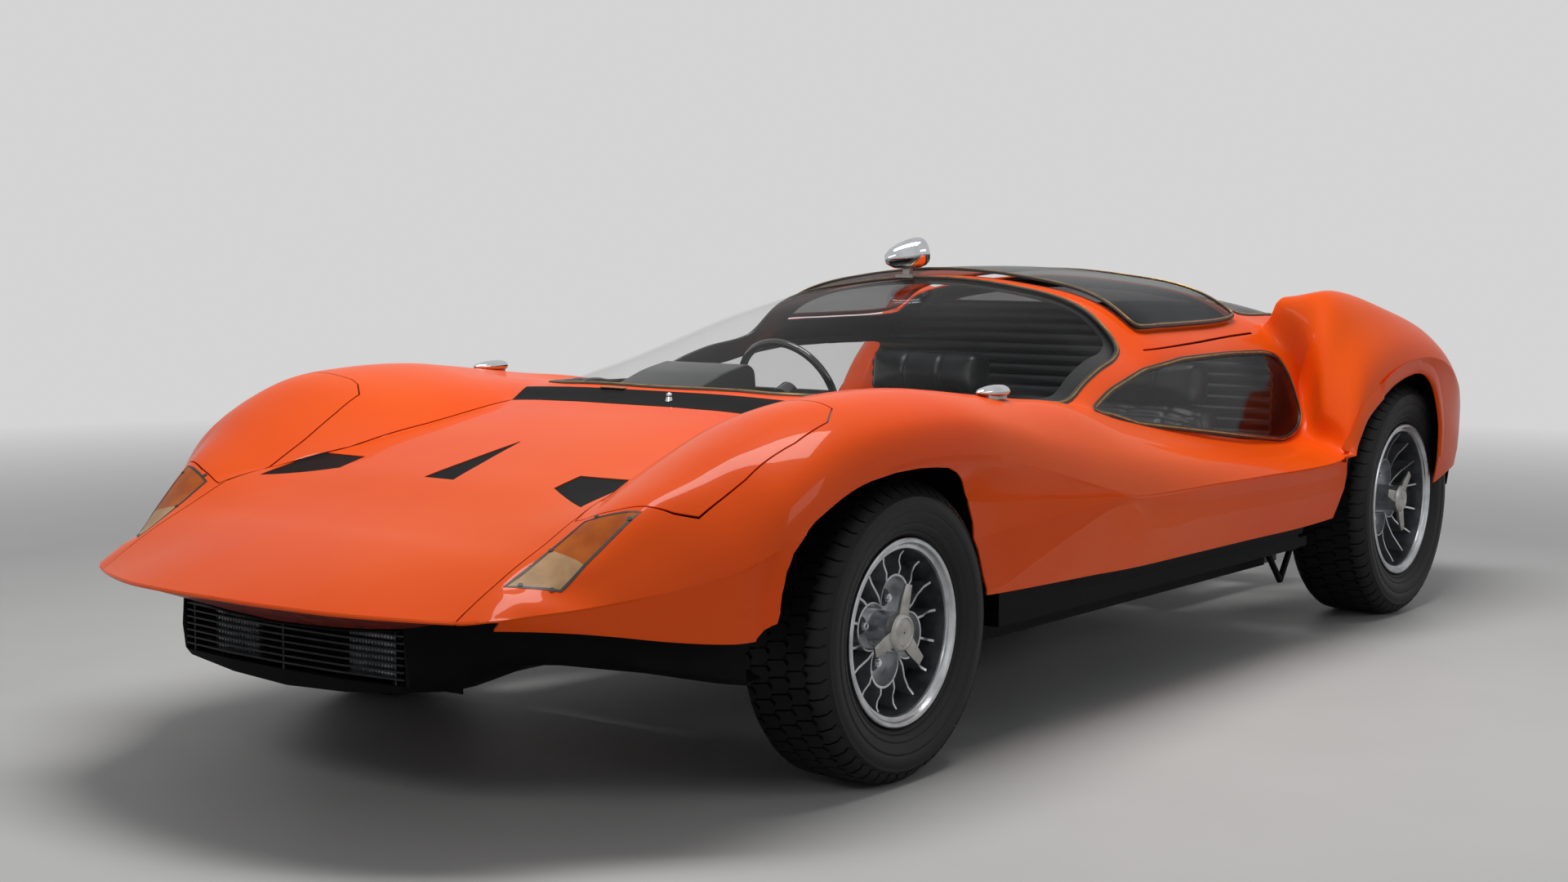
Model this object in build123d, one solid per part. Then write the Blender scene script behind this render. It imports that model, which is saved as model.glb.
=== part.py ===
from build123d import *
import math
import os

# Wedge sports car, in millimetres.
# +X points forward, +Y to the car's left, +Z up. The origin is on the ground, in the middle of the car.
# Stations are measured along the car from the front axle, positive forward.

# Driving dimensions
WHEELBASE = 2444
FRONT_OVERHANG = 1010
REAR_OVERHANG = 640
LENGTH = WHEELBASE + FRONT_OVERHANG + REAR_OVERHANG
FRONT_AXLE_X = LENGTH / 2 - FRONT_OVERHANG
BODY_WALL = 14
GLASS_THICKNESS = 6
SHUT_GAP = 5
SEAT_GAP = 0.3

# Wheels: tyre radius, tyre width, rim radius and the wheel centre's distance from the middle of the car
FRONT_TYRE_RADIUS = 288
FRONT_TYRE_WIDTH = 200
FRONT_RIM_RADIUS = 178
FRONT_WHEEL_Y = 662
REAR_TYRE_RADIUS = 320
REAR_TYRE_WIDTH = 225
REAR_RIM_RADIUS = 206
REAR_WHEEL_Y = 670
KINGPIN_Y = 590

# Body cross-sections. One row is a station and a half-section, from the sill's edge up to the middle:
# sill, tuck, step, crease, flank, crest, inner, base, side, rail, arc, top as (y, z), then z on the middle line.
SECTIONS = [
    (1020, (505, 388), (510, 390), (514, 392), (518, 394), (512, 397), (500, 399), (487, 399), (474, 399),
     (360, 402), (270, 404), (180, 406), (90, 407), 408),
    (890, (508, 388), (512, 393), (515, 398), (519, 403), (512, 406), (500, 407), (487, 406), (474, 405),
     (360, 427), (270, 438), (180, 444), (90, 447), 448),
    (760, (576, 366), (580, 382), (583, 399), (585, 414), (578, 428), (566, 444), (525, 458), (482, 472),
     (360, 481), (270, 486), (180, 489), (90, 491), 491),
    (690, (612, 359), (616, 382), (619, 402), (622, 421), (607, 456), (584, 492), (536, 502), (487, 511),
     (362, 512), (272, 513), (181, 514), (90, 515), 515),
    (600, (676, 350), (680, 382), (683, 412), (684, 438), (652, 496), (606, 556), (548, 560), (492, 560),
     (370, 549), (278, 546), (185, 545), (92, 545), 545),
    (480, (757, 345), (768, 388), (775, 430), (781, 472), (735, 552), (650, 618), (540, 610), (437, 580),
     (328, 584), (246, 585), (164, 586), (82, 586), 586),
    (390, (795, 345), (798, 410), (800, 475), (802, 541), (772, 620), (670, 668), (530, 646), (405, 596),
     (304, 604), (228, 606), (152, 607), (76, 607), 607),
    (250, (800, 345), (806, 420), (811, 500), (813, 588), (784, 680), (682, 722), (520, 694), (372, 621),
     (279, 631), (209, 633), (140, 634), (70, 634), 634),
    (100, (800, 345), (806, 420), (812, 510), (815, 609), (790, 700), (685, 739), (520, 716), (350, 646),
     (262, 655), (197, 657), (131, 658), (66, 658), 658),
    (-67, (795, 345), (802, 420), (810, 510), (815, 605), (790, 697), (688, 740), (520, 722), (335, 675),
     (251, 679), (188, 680), (126, 681), (63, 681), 681),
    (-160, (770, 340), (782, 420), (795, 500), (812, 598), (790, 690), (692, 734), (540, 718), (380, 697),
     (285, 701), (214, 703), (142, 704), (71, 704), 704),
    (-320, (705, 326), (716, 352), (702, 480), (807, 580), (786, 664), (699, 716), (570, 704), (405, 700),
     (320, 722), (240, 738), (160, 744), (80, 747), 748),
    (-450, (736, 327), (748, 376), (722, 472), (805, 552), (786, 634), (699, 702), (610, 692), (500, 690),
     (420, 728), (330, 752), (220, 768), (110, 775), 777),
    (-645, (750, 327), (776, 415), (768, 466), (803, 512), (780, 602), (686, 686), (640, 674), (600, 664),
     (530, 720), (440, 772), (330, 805), (160, 822), 827),
    (-830, (755, 327), (791, 436), (788, 464), (802, 478), (776, 572), (670, 656), (655, 658), (640, 662),
     (618, 668), (520, 770), (400, 835), (200, 862), 869),
    (-1010, (756, 326), (792, 430), (788, 462), (802, 474), (772, 546), (665, 617), (655, 619), (645, 624),
     (588, 712), (530, 790), (430, 855), (210, 890), 899),
    (-1200, (757, 325), (793, 425), (789, 460), (803, 472), (768, 526), (662, 584), (654, 587), (646, 594),
     (606, 700), (552, 770), (450, 862), (220, 915), 930),
    (-1320, (757, 324), (794, 422), (789, 458), (803, 470), (765, 515), (661, 566), (654, 569), (648, 577),
     (604, 736), (549, 801), (450, 872), (220, 925), 941),
    (-1500, (758, 323), (795, 418), (789, 456), (803, 468), (760, 503), (660, 541), (654, 545), (650, 553),
     (600, 745), (543, 808), (448, 878), (220, 929), 945),
    (-1750, (759, 322), (796, 414), (790, 453), (804, 465), (752, 490), (660, 514), (655, 518), (651, 526),
     (598, 743), (522, 820), (438, 880), (218, 925), 940),
    (-1880, (760, 321), (797, 412), (791, 451), (805, 463), (748, 484), (660, 506), (656, 510), (652, 518),
     (596, 738), (512, 826), (428, 874), (212, 912), 926),
    (-1960, (764, 320), (800, 412), (798, 448), (812, 482), (785, 640), (662, 872), (600, 878), (566, 842),
     (545, 812), (500, 822), (418, 862), (208, 898), 910),
    (-2240, (778, 325), (806, 420), (816, 530), (824, 645), (790, 760), (662, 890), (602, 886), (562, 838),
     (525, 790), (470, 800), (390, 832), (195, 860), 870),
    (-2600, (780, 335), (806, 420), (816, 520), (823, 618), (792, 700), (686, 792), (622, 788), (578, 756),
     (535, 728), (470, 736), (390, 752), (195, 772), 778),
    (-2850, (752, 345), (770, 405), (780, 465), (786, 532), (764, 606), (694, 672), (636, 670), (592, 658),
     (545, 640), (470, 645), (390, 654), (195, 664), 668),
    (-3090, (672, 350), (684, 400), (692, 440), (697, 468), (690, 496), (670, 514), (630, 516), (592, 516),
     (548, 518), (470, 520), (390, 522), (195, 525), 526),
]

# Nose in plan, as (station, y): a bowed front edge that runs back into the fenders
NOSE_OUTLINE = [(1010, 0), (1001, 160), (967, 320), (892, 476), (855, 531), (692, 622), (574, 702), (481, 781),
                (390, 803), (250, 830), (-250, 830)]
# Tail from the side, as (station, z): the end face leans in towards the ground
TAIL_TOP = (-3084, 520)
TAIL_FOOT = (-2890, 340)

# Wheel arch openings
FRONT_ARCH = [(585, 200), (573, 362), (496, 468), (393, 541), (250, 588), (107, 609), (-114, 597), (-235, 556),
              (-300, 475), (-335, 345), (-335, 200)]
REAR_ARCH_CENTRE = (-2380, 330)
REAR_ARCH_RADII = (412, 318)
ARCH_INNER_Y = 560

# Openings in plan, as (station, y) for one half
STRIP_EDGE = [(-62, 0), (-62, 330), (-158, 376), (-158, 0)]
HOOD_WEDGES = [[(476, -39), (476, 39), (150, 3), (150, -3)], [(491, 424), (436, 300), (358, 285), (347, 378)]]
HOOD_EDGE = [(-62, 333), (157, 361), (347, 393), (491, 440), (600, 487), (690, 484), (797, 479), (1100, 466)]
WINDSCREEN_EDGE = [(-178, 0), (-190, 300), (-230, 378), (-300, 400), (-450, 492), (-645, 598), (-830, 616),
                   (-1010, 586), (-1185, 545), (-1200, 0)]
ROOF_FRONT = -1285
ROOF_REAR = -1905
ROOF_FRONT_Y = 470
ROOF_CORNER = -1345
ROOF_CORNER_Y = 540
ROOF_REAR_Y = 508
REAR_GLASS_EDGE = [(-1950, 0), (-1950, 470), (-2240, 455), (-2420, 430), (-2420, 0)]
ENGINE_LID_FRONT = -2480
ENGINE_LID_REAR = -2960
ENGINE_LID_Y = 505
FENDER_LID_REAR = 180
FENDER_LID_EDGE = [(600, 487), (561, 600), (524, 680), (270, 762), (180, 768), (180, 364)]
# Quarter window from the side, as (station, z)
QUARTER_WINDOW = [(-900, 654), (-1003, 688), (-1214, 722), (-1475, 741), (-1840, 736), (-1868, 640), (-1868, 545),
                  (-1750, 534), (-1460, 560), (-1200, 606), (-1012, 637)]
# Flush lamps in the nose, in plan as (station, y), front corners first
NOSE_LAMP = [(797, 487), (754, 570), (591, 600), (625, 500)]
TAIL_LAMP = [(-2700, 612), (-2700, 680), (-3030, 668), (-3030, 608)]

# Cabin
FLOOR_Z = 200
FLOOR_THICKNESS = 15
CABIN_REAR = -1900
CABIN_FRONT = -330
RAIL_Y = 250
RAIL_HALF_WIDTH = 25
RAIL_HEIGHT = 50
RAIL_REAR = -2700
RAIL_SLOPE_START = 62
RAIL_STEP = 300
RAIL_FRONT = 808
FRONT_RAIL_FOOT_Z = 244
RAIL_HOLES = (560, 660)
RAIL_HOLE_RADIUS = 6
FOOTWELL_FRONT = -190
CABIN_HALF_WIDTH = 640
SILL_FOOT_Z = 250
SILL_STEP_Z = 318
SILL_TOP_Z = 345
SILL_OUTER_Y = 742
SILL_FRONT = -345
SILL_REAR = -1800
UPSTAND_FRONT = -460
STRUT_Y = 700
STRUT_RADIUS = 8
STRUT_TOP_ENDS = (-1700, -1860)
STRUT_FOOT = -1790
STRUT_FOOT_Z = 165
SEAT_Y = 330
SEAT_WIDTH = 440
STEERING_WHEEL_Y = -300
STEERING_WHEEL_STATION = -1030
STEERING_WHEEL_Z = 640
STEERING_WHEEL_RADIUS = 172
COLUMN_TILT = 24
COLUMN_LENGTH = 330
MIRROR_Y = -75

# Wheel houses: ellipse centre and radii as (station, z), and the inner wall's y
FRONT_HOUSE_CENTRE = (70, 330)
FRONT_HOUSE_RADII = (510, 310)
REAR_HOUSE_CENTRE = (-2410, 330)
REAR_HOUSE_RADII = (425, 365)
HOUSE_INNER_Y = 385
HOUSE_WALL = 6
HOUSE_NOTCH_REAR = 540
HOUSE_NOTCH_Z = 376

# Front valance in plan, as (station, y), with its foot and its height under the nose
VALANCE_OUTLINE = [(864, 0), (860, 150), (842, 300), (786, 345), (735, 425), (690, 500), (330, 560), (300, 0)]
VALANCE_FOOT_Z = 258
VALANCE_TOP_Z = 384
VALANCE_WALL = 10
GRILLE_HALF_WIDTH = 290
GRILLE_FRONT = 858
GRILLE_SIDE = 836
GRILLE_LOW_Z = 280
GRILLE_HIGH_Z = 372
SLAT_COUNT = 7
SLAT_THICKNESS = 4
SLAT_DEPTH = 24
HEADLAMP_Y = 182
HEADLAMP_FRONT = 800

# Running gear
HUB_Z_FRONT = FRONT_TYRE_RADIUS
HUB_Z_REAR = REAR_TYRE_RADIUS
STUB_RADIUS = 22
STUB_CLEARANCE = 0.05
BOSS_HALF = 60
BOSS_RADIUS = 16
WISHBONE_THICKNESS = 14
FRONT_DISH = 62
REAR_DISH = 85
SHAFT_RADIUS = 9
RUNNER_TOP = 758
RUNNER_NARROW = -1885
RUNNER_NARROW_Y = 598
HEADREST_WIDTH = 350
LOUVRE_COUNT = 7
LOUVRE_PITCH = 48
LOUVRE_HALF_WIDTH = 400
FIN_COUNT = 16
EAR_COUNT = 3
STUD_COUNT = 4

# Hinges of the lids
PIN_RADIUS = 4
BARREL_RADIUS = 9
ARM_THICKNESS = 10
NOTCH_HALF = ARM_THICKNESS / 2 + SHUT_GAP
HOOD_REAR_GAP = 7
HOOD_HINGE = (-88, 660)
HOOD_HINGE_Y = 230
ENGINE_HINGE = (-2452, 803)
ENGINE_HINGE_Y = 380
ROOF_LIFT = 16
ROOF_FRAME_WIDTH = 26
SLOT_Y = 552
FOOT_LOW_Z = 825
SLOT_FRONT = -1400
SLOT_REAR = -1950


def at(station):
    """X of a station measured from the front axle."""
    return FRONT_AXLE_X + station


def inset(points, depth):
    """Move a half-section's points inwards by the wall's depth."""
    moved = []
    count = len(points)
    for i in range(count):
        before = points[max(i - 1, 0)]
        after = points[min(i + 1, count - 1)]
        ty = after[0] - before[0]
        tz = after[1] - before[1]
        size = math.hypot(ty, tz)
        moved.append((points[i][0] - depth * tz / size, points[i][1] + depth * ty / size))
    return moved


def section_wire(row, depth):
    """Closed outline of one cross-section, moved inwards by depth."""
    x = at(row[0])
    half = list(row[1:-1]) + [(0, row[-1])]
    if depth > 0:
        half = inset(half, depth)
        half[-1] = (0, row[-1] - depth)
        half[0] = (half[0][0], row[1][1] - 60)
    right = [(x, y, z) for y, z in half]
    left = [(x, -y, z) for y, z in reversed(half[:-1])]
    return Wire.make_polygon([Vector(*p) for p in right + left], close=True)


def plan_prism(outline, low=-100, high=1500):
    """Upright prism over a half outline given as (station, y), mirrored over the middle line."""
    half = [(at(s), y) for s, y in outline]
    other = [(x, -y) for x, y in reversed(half) if abs(y) > 1e-6]
    return plan_area(half + other, low, high)


def plan_area(points, low=-100, high=1500):
    """Upright prism over an outline given as (x, y)."""
    wire = Wire.make_polygon([Vector(x, y, low) for x, y in points], close=True)
    return extrude(Face(wire), amount=high - low, dir=(0, 0, 1))


def side_prism(outline, y_low, y_high):
    """Prism along Y over an outline given as (station, z)."""
    wire = Wire.make_polygon([Vector(at(s), y_low, z) for s, z in outline], close=True)
    return extrude(Face(wire), amount=y_high - y_low, dir=(0, 1, 0))


def mirrored(shape):
    """The same shape on the other side of the car."""
    return mirror(shape, about=Plane.XZ)


def block(x0, x1, y0, y1, z0, z1):
    """Box between two stations, two y and two z."""
    return Pos((at(x0) + at(x1)) / 2, (y0 + y1) / 2, (z0 + z1) / 2) * Box(abs(x1 - x0), abs(y1 - y0), abs(z1 - z0))


def rod(start, end, radius):
    """Round bar between two points given as (x, y, z)."""
    a = Vector(*start)
    b = Vector(*end)
    plane = Plane(origin=a, z_dir=(b - a))
    return extrude(plane * Circle(radius), amount=(b - a).length)


def skin(depth):
    """Solid inside the body's outer surface, moved inwards by depth."""
    hull = Solid.make_loft([section_wire(row, depth) for row in SECTIONS], ruled=True)
    grown = 0 if depth == 0 else depth
    nose = [(s - grown, y - grown * 0.6 if y > 0 else 0) for s, y in NOSE_OUTLINE[:-1]]
    sides = [(-250, 830), (-3200, 830)]
    hull = hull & plan_prism(nose + sides)
    lean = (TAIL_TOP[0] - TAIL_FOOT[0]) / (TAIL_TOP[1] - TAIL_FOOT[1])
    low_z = 100
    high_z = 1100
    foot = TAIL_FOOT[0] + (low_z - TAIL_FOOT[1]) * lean + grown
    top_x = TAIL_TOP[0] + grown
    tail = [(1300, low_z), (foot, low_z), (top_x, TAIL_TOP[1]), (top_x, high_z), (1300, high_z)]
    return hull & side_prism(tail, -900, 900)


def ellipse_prism(centre, radii, y_low, y_high):
    """Prism along Y over an upright ellipse."""
    plane = Plane(origin=(at(centre[0]), y_low, centre[1]), x_dir=(1, 0, 0), z_dir=(0, 1, 0))
    return extrude(plane * Ellipse(radii[0], radii[1]), amount=y_high - y_low)


def save(name, shape):
    """Write one node's solids to its own file."""
    if isinstance(shape, (list, tuple)):
        shape = Compound(children=[s for part in shape for s in part.solids()])
    export_step(shape, os.path.join("parts", name + ".step"))
    print(name, len(shape.solids()), round(shape.volume / 1e6, 2), "litres")


def hood_outline(gap, rear_gap):
    """Hood lid in plan, smaller than its opening by the gaps at its sides and rear."""
    rear = HOOD_EDGE[0][0] + rear_gap
    return [(rear, 0)] + [(max(s, rear), y - gap) for s, y in HOOD_EDGE] + [(HOOD_EDGE[-1][0], 0)]


def fender_lid_outline(gap):
    """Front fender's lid in plan, for the left side, smaller than its opening by the gap."""
    rear = FENDER_LID_REAR + gap
    front = FENDER_LID_EDGE[0]
    inner = [(s, y + gap) for s, y in HOOD_EDGE if FENDER_LID_REAR < s < front[0]]
    outline = [(front[0] - gap, front[1] + gap)]
    outline += [(s - gap, y - gap * 0.5) for s, y in FENDER_LID_EDGE[1:3]]
    outline += [(FENDER_LID_EDGE[3][0], FENDER_LID_EDGE[3][1] - gap), (rear, FENDER_LID_EDGE[4][1] - gap)]
    outline += [(rear, FENDER_LID_EDGE[5][1] + gap + 2)] + inner
    return [(at(s), y) for s, y in outline]


def engine_lid_outline(gap):
    """Engine lid in plan."""
    return [(ENGINE_LID_FRONT - gap, 0), (ENGINE_LID_FRONT - gap, ENGINE_LID_Y - gap),
            (ENGINE_LID_REAR + gap, ENGINE_LID_Y - gap), (ENGINE_LID_REAR + gap, 0)]


def roof_outline(gap):
    """Sliding roof in plan."""
    return [(ROOF_FRONT - gap, 0), (ROOF_FRONT - gap, ROOF_FRONT_Y - gap), (ROOF_CORNER, ROOF_CORNER_Y - gap),
            (ROOF_REAR + gap, ROOF_REAR_Y - gap), (ROOF_REAR + gap, 0)]


def side_plate(outline, y, thickness):
    """Upright plate centred on y over an outline given as (station, z)."""
    return side_prism(outline, y - thickness / 2, y + thickness / 2)


def hinge_arms(axis, reach, ys):
    """A lid's hinge arms: a barrel on the axis and a flat arm that goes on through the points in reach."""
    station, z = axis
    arms = []
    for y in ys:
        arm = side_plate([(station, z - 6), (station, z + 6)] + reach, y, ARM_THICKNESS)
        arm += rod((at(station), y - ARM_THICKNESS / 2, z), (at(station), y + ARM_THICKNESS / 2, z), BARREL_RADIUS)
        arm -= rod((at(station), y - 20, z), (at(station), y + 20, z), PIN_RADIUS + SEAT_GAP)
        arms.append(arm)
    return arms


def hinge_forks(axis, skin_z, ys):
    """Forks that hold a lid's hinge pins; skin_z is where they meet the body's skin, above or below the pins."""
    station, z = axis
    forks = []
    end = z + math.copysign(BARREL_RADIUS, z - skin_z)
    gap = ARM_THICKNESS / 2 + 1
    for y in ys:
        pin = rod((at(station), y - gap - 5, z), (at(station), y + gap + 5, z), PIN_RADIUS)
        for middle in (y - gap - 3, y + gap + 3):
            pin += side_plate([(station - 9, end), (station + 9, end), (station + 9, skin_z),
                               (station - 9, skin_z)], middle, 5)
        forks.append(pin)
    return forks


def front_arch_prism(side):
    """Cut for a front wheel arch; side is 1 for left and -1 for right."""
    prism = side_prism(FRONT_ARCH, ARCH_INNER_Y, 900)
    return prism if side > 0 else mirrored(prism)


def rear_arch_prism(side):
    """Cut for a rear wheel arch."""
    prism = ellipse_prism(REAR_ARCH_CENTRE, REAR_ARCH_RADII, ARCH_INNER_Y, 900)
    return prism if side > 0 else mirrored(prism)


def body_shell(wall):
    """Painted body: one hollow shell, open below, with its windows, lids and arches cut."""
    cuts = [plan_prism(hood_outline(0, 0), 380), plan_prism(WINDSCREEN_EDGE, 600), plan_prism(roof_outline(0), 740),
            plan_prism(REAR_GLASS_EDGE, 700), plan_prism(engine_lid_outline(0), 450), plan_prism(STRIP_EDGE, 500),
            tail_opening()]
    cuts += [block(SLOT_REAR, SLOT_FRONT, y - 5, y + 5, 700, 900) for y in (-SLOT_Y, SLOT_Y)]
    for side in (1, -1):
        lid = plan_area(fender_lid_outline(0), 500)
        window = side_prism(QUARTER_WINDOW, 560, 700)
        lamp = plan_area([(at(s), y) for s, y in NOSE_LAMP], 425)
        tail = plan_area([(at(s), y) for s, y in TAIL_LAMP], 500)
        for piece in (lid, window, lamp, tail):
            cuts.append(piece if side > 0 else mirrored(piece))
        cuts.append(front_arch_prism(side))
        cuts.append(rear_arch_prism(side))
    return wall - cuts


def glass_panels(pane):
    """Fixed panes, which fill their openings."""
    screen = pane & plan_prism(WINDSCREEN_EDGE, 600)
    rear = pane & plan_prism(REAR_GLASS_EDGE, 700)
    quarter = pane & side_prism(QUARTER_WINDOW, 560, 700)
    return screen, rear, [quarter, mirrored(quarter)]


def lamp_panels(wall, outline, low):
    """Flush lamps of both sides."""
    lamp = wall & plan_area([(at(s), y) for s, y in outline], low)
    return [lamp, mirrored(lamp)]


def floor_pan():
    """Flat floor with a footwell between the front wheel houses, on two chassis rails."""
    top = FLOOR_Z + FLOOR_THICKNESS
    pan = block(CABIN_REAR, CABIN_FRONT - 130, -CABIN_HALF_WIDTH, CABIN_HALF_WIDTH, FLOOR_Z, top)
    half = HOUSE_INNER_Y - HOUSE_WALL - 8
    pan += block(CABIN_FRONT - 131, FOOTWELL_FRONT, -half, half, FLOOR_Z, top)
    pan += block(FOOTWELL_FRONT - 12, FOOTWELL_FRONT, -half, half, FLOOR_Z, 560)
    for y in (-RAIL_Y, RAIL_Y):
        low, high = y - RAIL_HALF_WIDTH, y + RAIL_HALF_WIDTH
        pan += block(RAIL_REAR, RAIL_SLOPE_START, low, high, FLOOR_Z - RAIL_HEIGHT, FLOOR_Z)
        pan += side_prism([(RAIL_SLOPE_START, FLOOR_Z - RAIL_HEIGHT), (RAIL_SLOPE_START, FLOOR_Z),
                           (RAIL_STEP, VALANCE_FOOT_Z), (RAIL_STEP, FRONT_RAIL_FOOT_Z)], low, high)
        pan += block(RAIL_STEP, RAIL_FRONT, low, high, FRONT_RAIL_FOOT_Z, VALANCE_FOOT_Z)
        for station in RAIL_HOLES:
            pan -= rod((at(station), y, FLOOR_Z), (at(station), y, VALANCE_FOOT_Z + 1), RAIL_HOLE_RADIUS)
    return pan


def centre_tunnel():
    """Tunnel along the middle of the floor."""
    top = FLOOR_Z + FLOOR_THICKNESS
    rear = CABIN_REAR + 45
    return block(rear, -460, -95, 95, top, top + 150) - block(rear, -460, -85, 85, top, top + 140)


def side_sills(inner):
    """Black box sills below the painted sides, with the strut ahead of each rear wheel."""
    sill = block(SILL_REAR, SILL_FRONT, CABIN_HALF_WIDTH, SILL_OUTER_Y, SILL_FOOT_Z, SILL_STEP_Z)
    sill += block(SILL_REAR, UPSTAND_FRONT, CABIN_HALF_WIDTH, 820, SILL_STEP_Z - 28, SILL_TOP_Z) & inner
    sill += block(SILL_REAR, SILL_FRONT, CABIN_HALF_WIDTH, CABIN_HALF_WIDTH + 12, FLOOR_Z, SILL_FOOT_Z)
    for end in STRUT_TOP_ENDS:
        sill += rod((at(end), STRUT_Y, SILL_FOOT_Z + 6), (at(STRUT_FOOT), STRUT_Y, STRUT_FOOT_Z), STRUT_RADIUS)
    sill += block(STRUT_TOP_ENDS[1] - 10, SILL_REAR, STRUT_Y - 40, STRUT_Y + 35, SILL_FOOT_Z, SILL_FOOT_Z + 25)
    return [sill, mirrored(sill)]


def wheel_houses(inner):
    """Black liners over the four wheels, open below and outside."""
    parts = []
    table = ((FRONT_HOUSE_CENTRE, FRONT_HOUSE_RADII, 150, 420), (REAR_HOUSE_CENTRE, REAR_HOUSE_RADII, 110, 430))
    for centre, radii, half_slot, slot_top in table:
        big = (radii[0] + HOUSE_WALL, radii[1] + HOUSE_WALL)
        cup = ellipse_prism(centre, big, HOUSE_INNER_Y - HOUSE_WALL, 800)
        cup -= ellipse_prism(centre, radii, HOUSE_INNER_Y, 801)
        middle = 0 if centre[0] > -500 else -WHEELBASE
        cup -= block(middle - half_slot, middle + half_slot, HOUSE_INNER_Y - 20, HOUSE_INNER_Y + 20, 0, slot_top)
        cup = cup & block(-3200, 1200, 0, 900, SILL_FOOT_Z + 76, 900)
        cup = cup & inner
        cup -= block(HOUSE_NOTCH_REAR, 1000, 600, 900, 0, HOUSE_NOTCH_Z)
        parts += [cup, mirrored(cup)]
    return parts


def valance():
    """Black chin below the nose, with the grille's opening."""
    wall = VALANCE_WALL
    inside = [(s - wall * 1.3, max(y - wall, 0)) for s, y in VALANCE_OUTLINE[:-1]] + [(250, 0)]
    inside[-2] = (250, VALANCE_OUTLINE[-2][1] - wall)
    chin = plan_prism(VALANCE_OUTLINE, VALANCE_FOOT_Z, VALANCE_TOP_Z)
    chin -= plan_prism(inside, VALANCE_FOOT_Z + wall, 900)
    chin -= block(780, 1100, -GRILLE_HALF_WIDTH, GRILLE_HALF_WIDTH, GRILLE_LOW_Z, GRILLE_HIGH_Z)
    chin -= block(200, 610, -900, 900, SILL_FOOT_Z + 72, 900)
    return chin - side_prism([(790, 200), (790, 262), (300, 292), (300, 200)], -900, 900)


def grille():
    """Seven slats across the chin's opening, bowed in plan, on three upright posts."""
    pitch = (GRILLE_HIGH_Z - GRILLE_LOW_Z) / (SLAT_COUNT + 1)
    half = GRILLE_HALF_WIDTH - SEAT_GAP
    front = [(GRILLE_FRONT, 0), (GRILLE_SIDE, half)]
    outline = front + [(GRILLE_SIDE - SLAT_DEPTH, half), (GRILLE_FRONT - SLAT_DEPTH, 0)]
    bars = None
    for i in range(SLAT_COUNT):
        z = GRILLE_LOW_Z + pitch * (i + 1)
        bar = plan_prism(outline, z - SLAT_THICKNESS / 2, z + SLAT_THICKNESS / 2)
        bars = bar if bars is None else bars + bar
    post_y = GRILLE_HALF_WIDTH - 8
    for y, s in ((0, GRILLE_FRONT - 15), (post_y, GRILLE_SIDE - 13), (-post_y, GRILLE_SIDE - 13)):
        bars += block(s - 9, s + 5, y - 6, y + 6, GRILLE_LOW_Z + SEAT_GAP, GRILLE_HIGH_Z - SEAT_GAP)
    return bars


def headlamps():
    """Rectangular lamps behind the slats, one on each side."""
    y = HEADLAMP_Y
    back = HEADLAMP_FRONT - 30
    lamp = block(back, HEADLAMP_FRONT, y - 66, y + 66, 284, 352)
    lamp += block(back - 30, back, y - 52, y + 52, 292, 344)
    lamp += block(back - 25, back - 5, y - 10, y + 10, VALANCE_FOOT_Z + VALANCE_WALL, 292)
    return [lamp, mirrored(lamp)]


def tail_opening():
    """Box around the black panel in the tail's end face."""
    return block(-3100, -2840, -600, 600, 362, 496)


def cowl_strip(wall):
    """Black vent strip between the hood and the windscreen, notched for the hood's hinges."""
    strip = wall & plan_prism(STRIP_EDGE, 500)
    for y in (-HOOD_HINGE_Y, HOOD_HINGE_Y):
        strip -= block(HOOD_HINGE[0] - BARREL_RADIUS - SHUT_GAP, 0, y - NOTCH_HALF, y + NOTCH_HALF, 500, 800)
    forks = hinge_forks(HOOD_HINGE, 676, (-HOOD_HINGE_Y, HOOD_HINGE_Y))
    for fork in forks:
        strip += fork
    return strip


def tyre(radius, width, rim_radius):
    """Tyre about the Y axis through the origin, with ribs in its tread."""
    half = width / 2
    bead = rim_radius + 2
    profile = [(bead, half - 26), (bead + 12, half - 14), (bead + 36, half - 2), (radius - 52, half),
               (radius - 24, half - 4), (radius - 6, half - 16), (radius, half - 34)]
    grooves = [(radius, half * 0.36), (radius - 8, half * 0.33), (radius - 8, half * 0.27), (radius, half * 0.24)]
    right = profile + grooves
    loop = right + [(r, -y) for r, y in reversed(right)]
    wire = Wire.make_polygon([Vector(r, y, 0) for r, y in loop], close=True)
    return revolve(Face(wire), axis=Axis.Y, revolution_arc=360)


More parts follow.
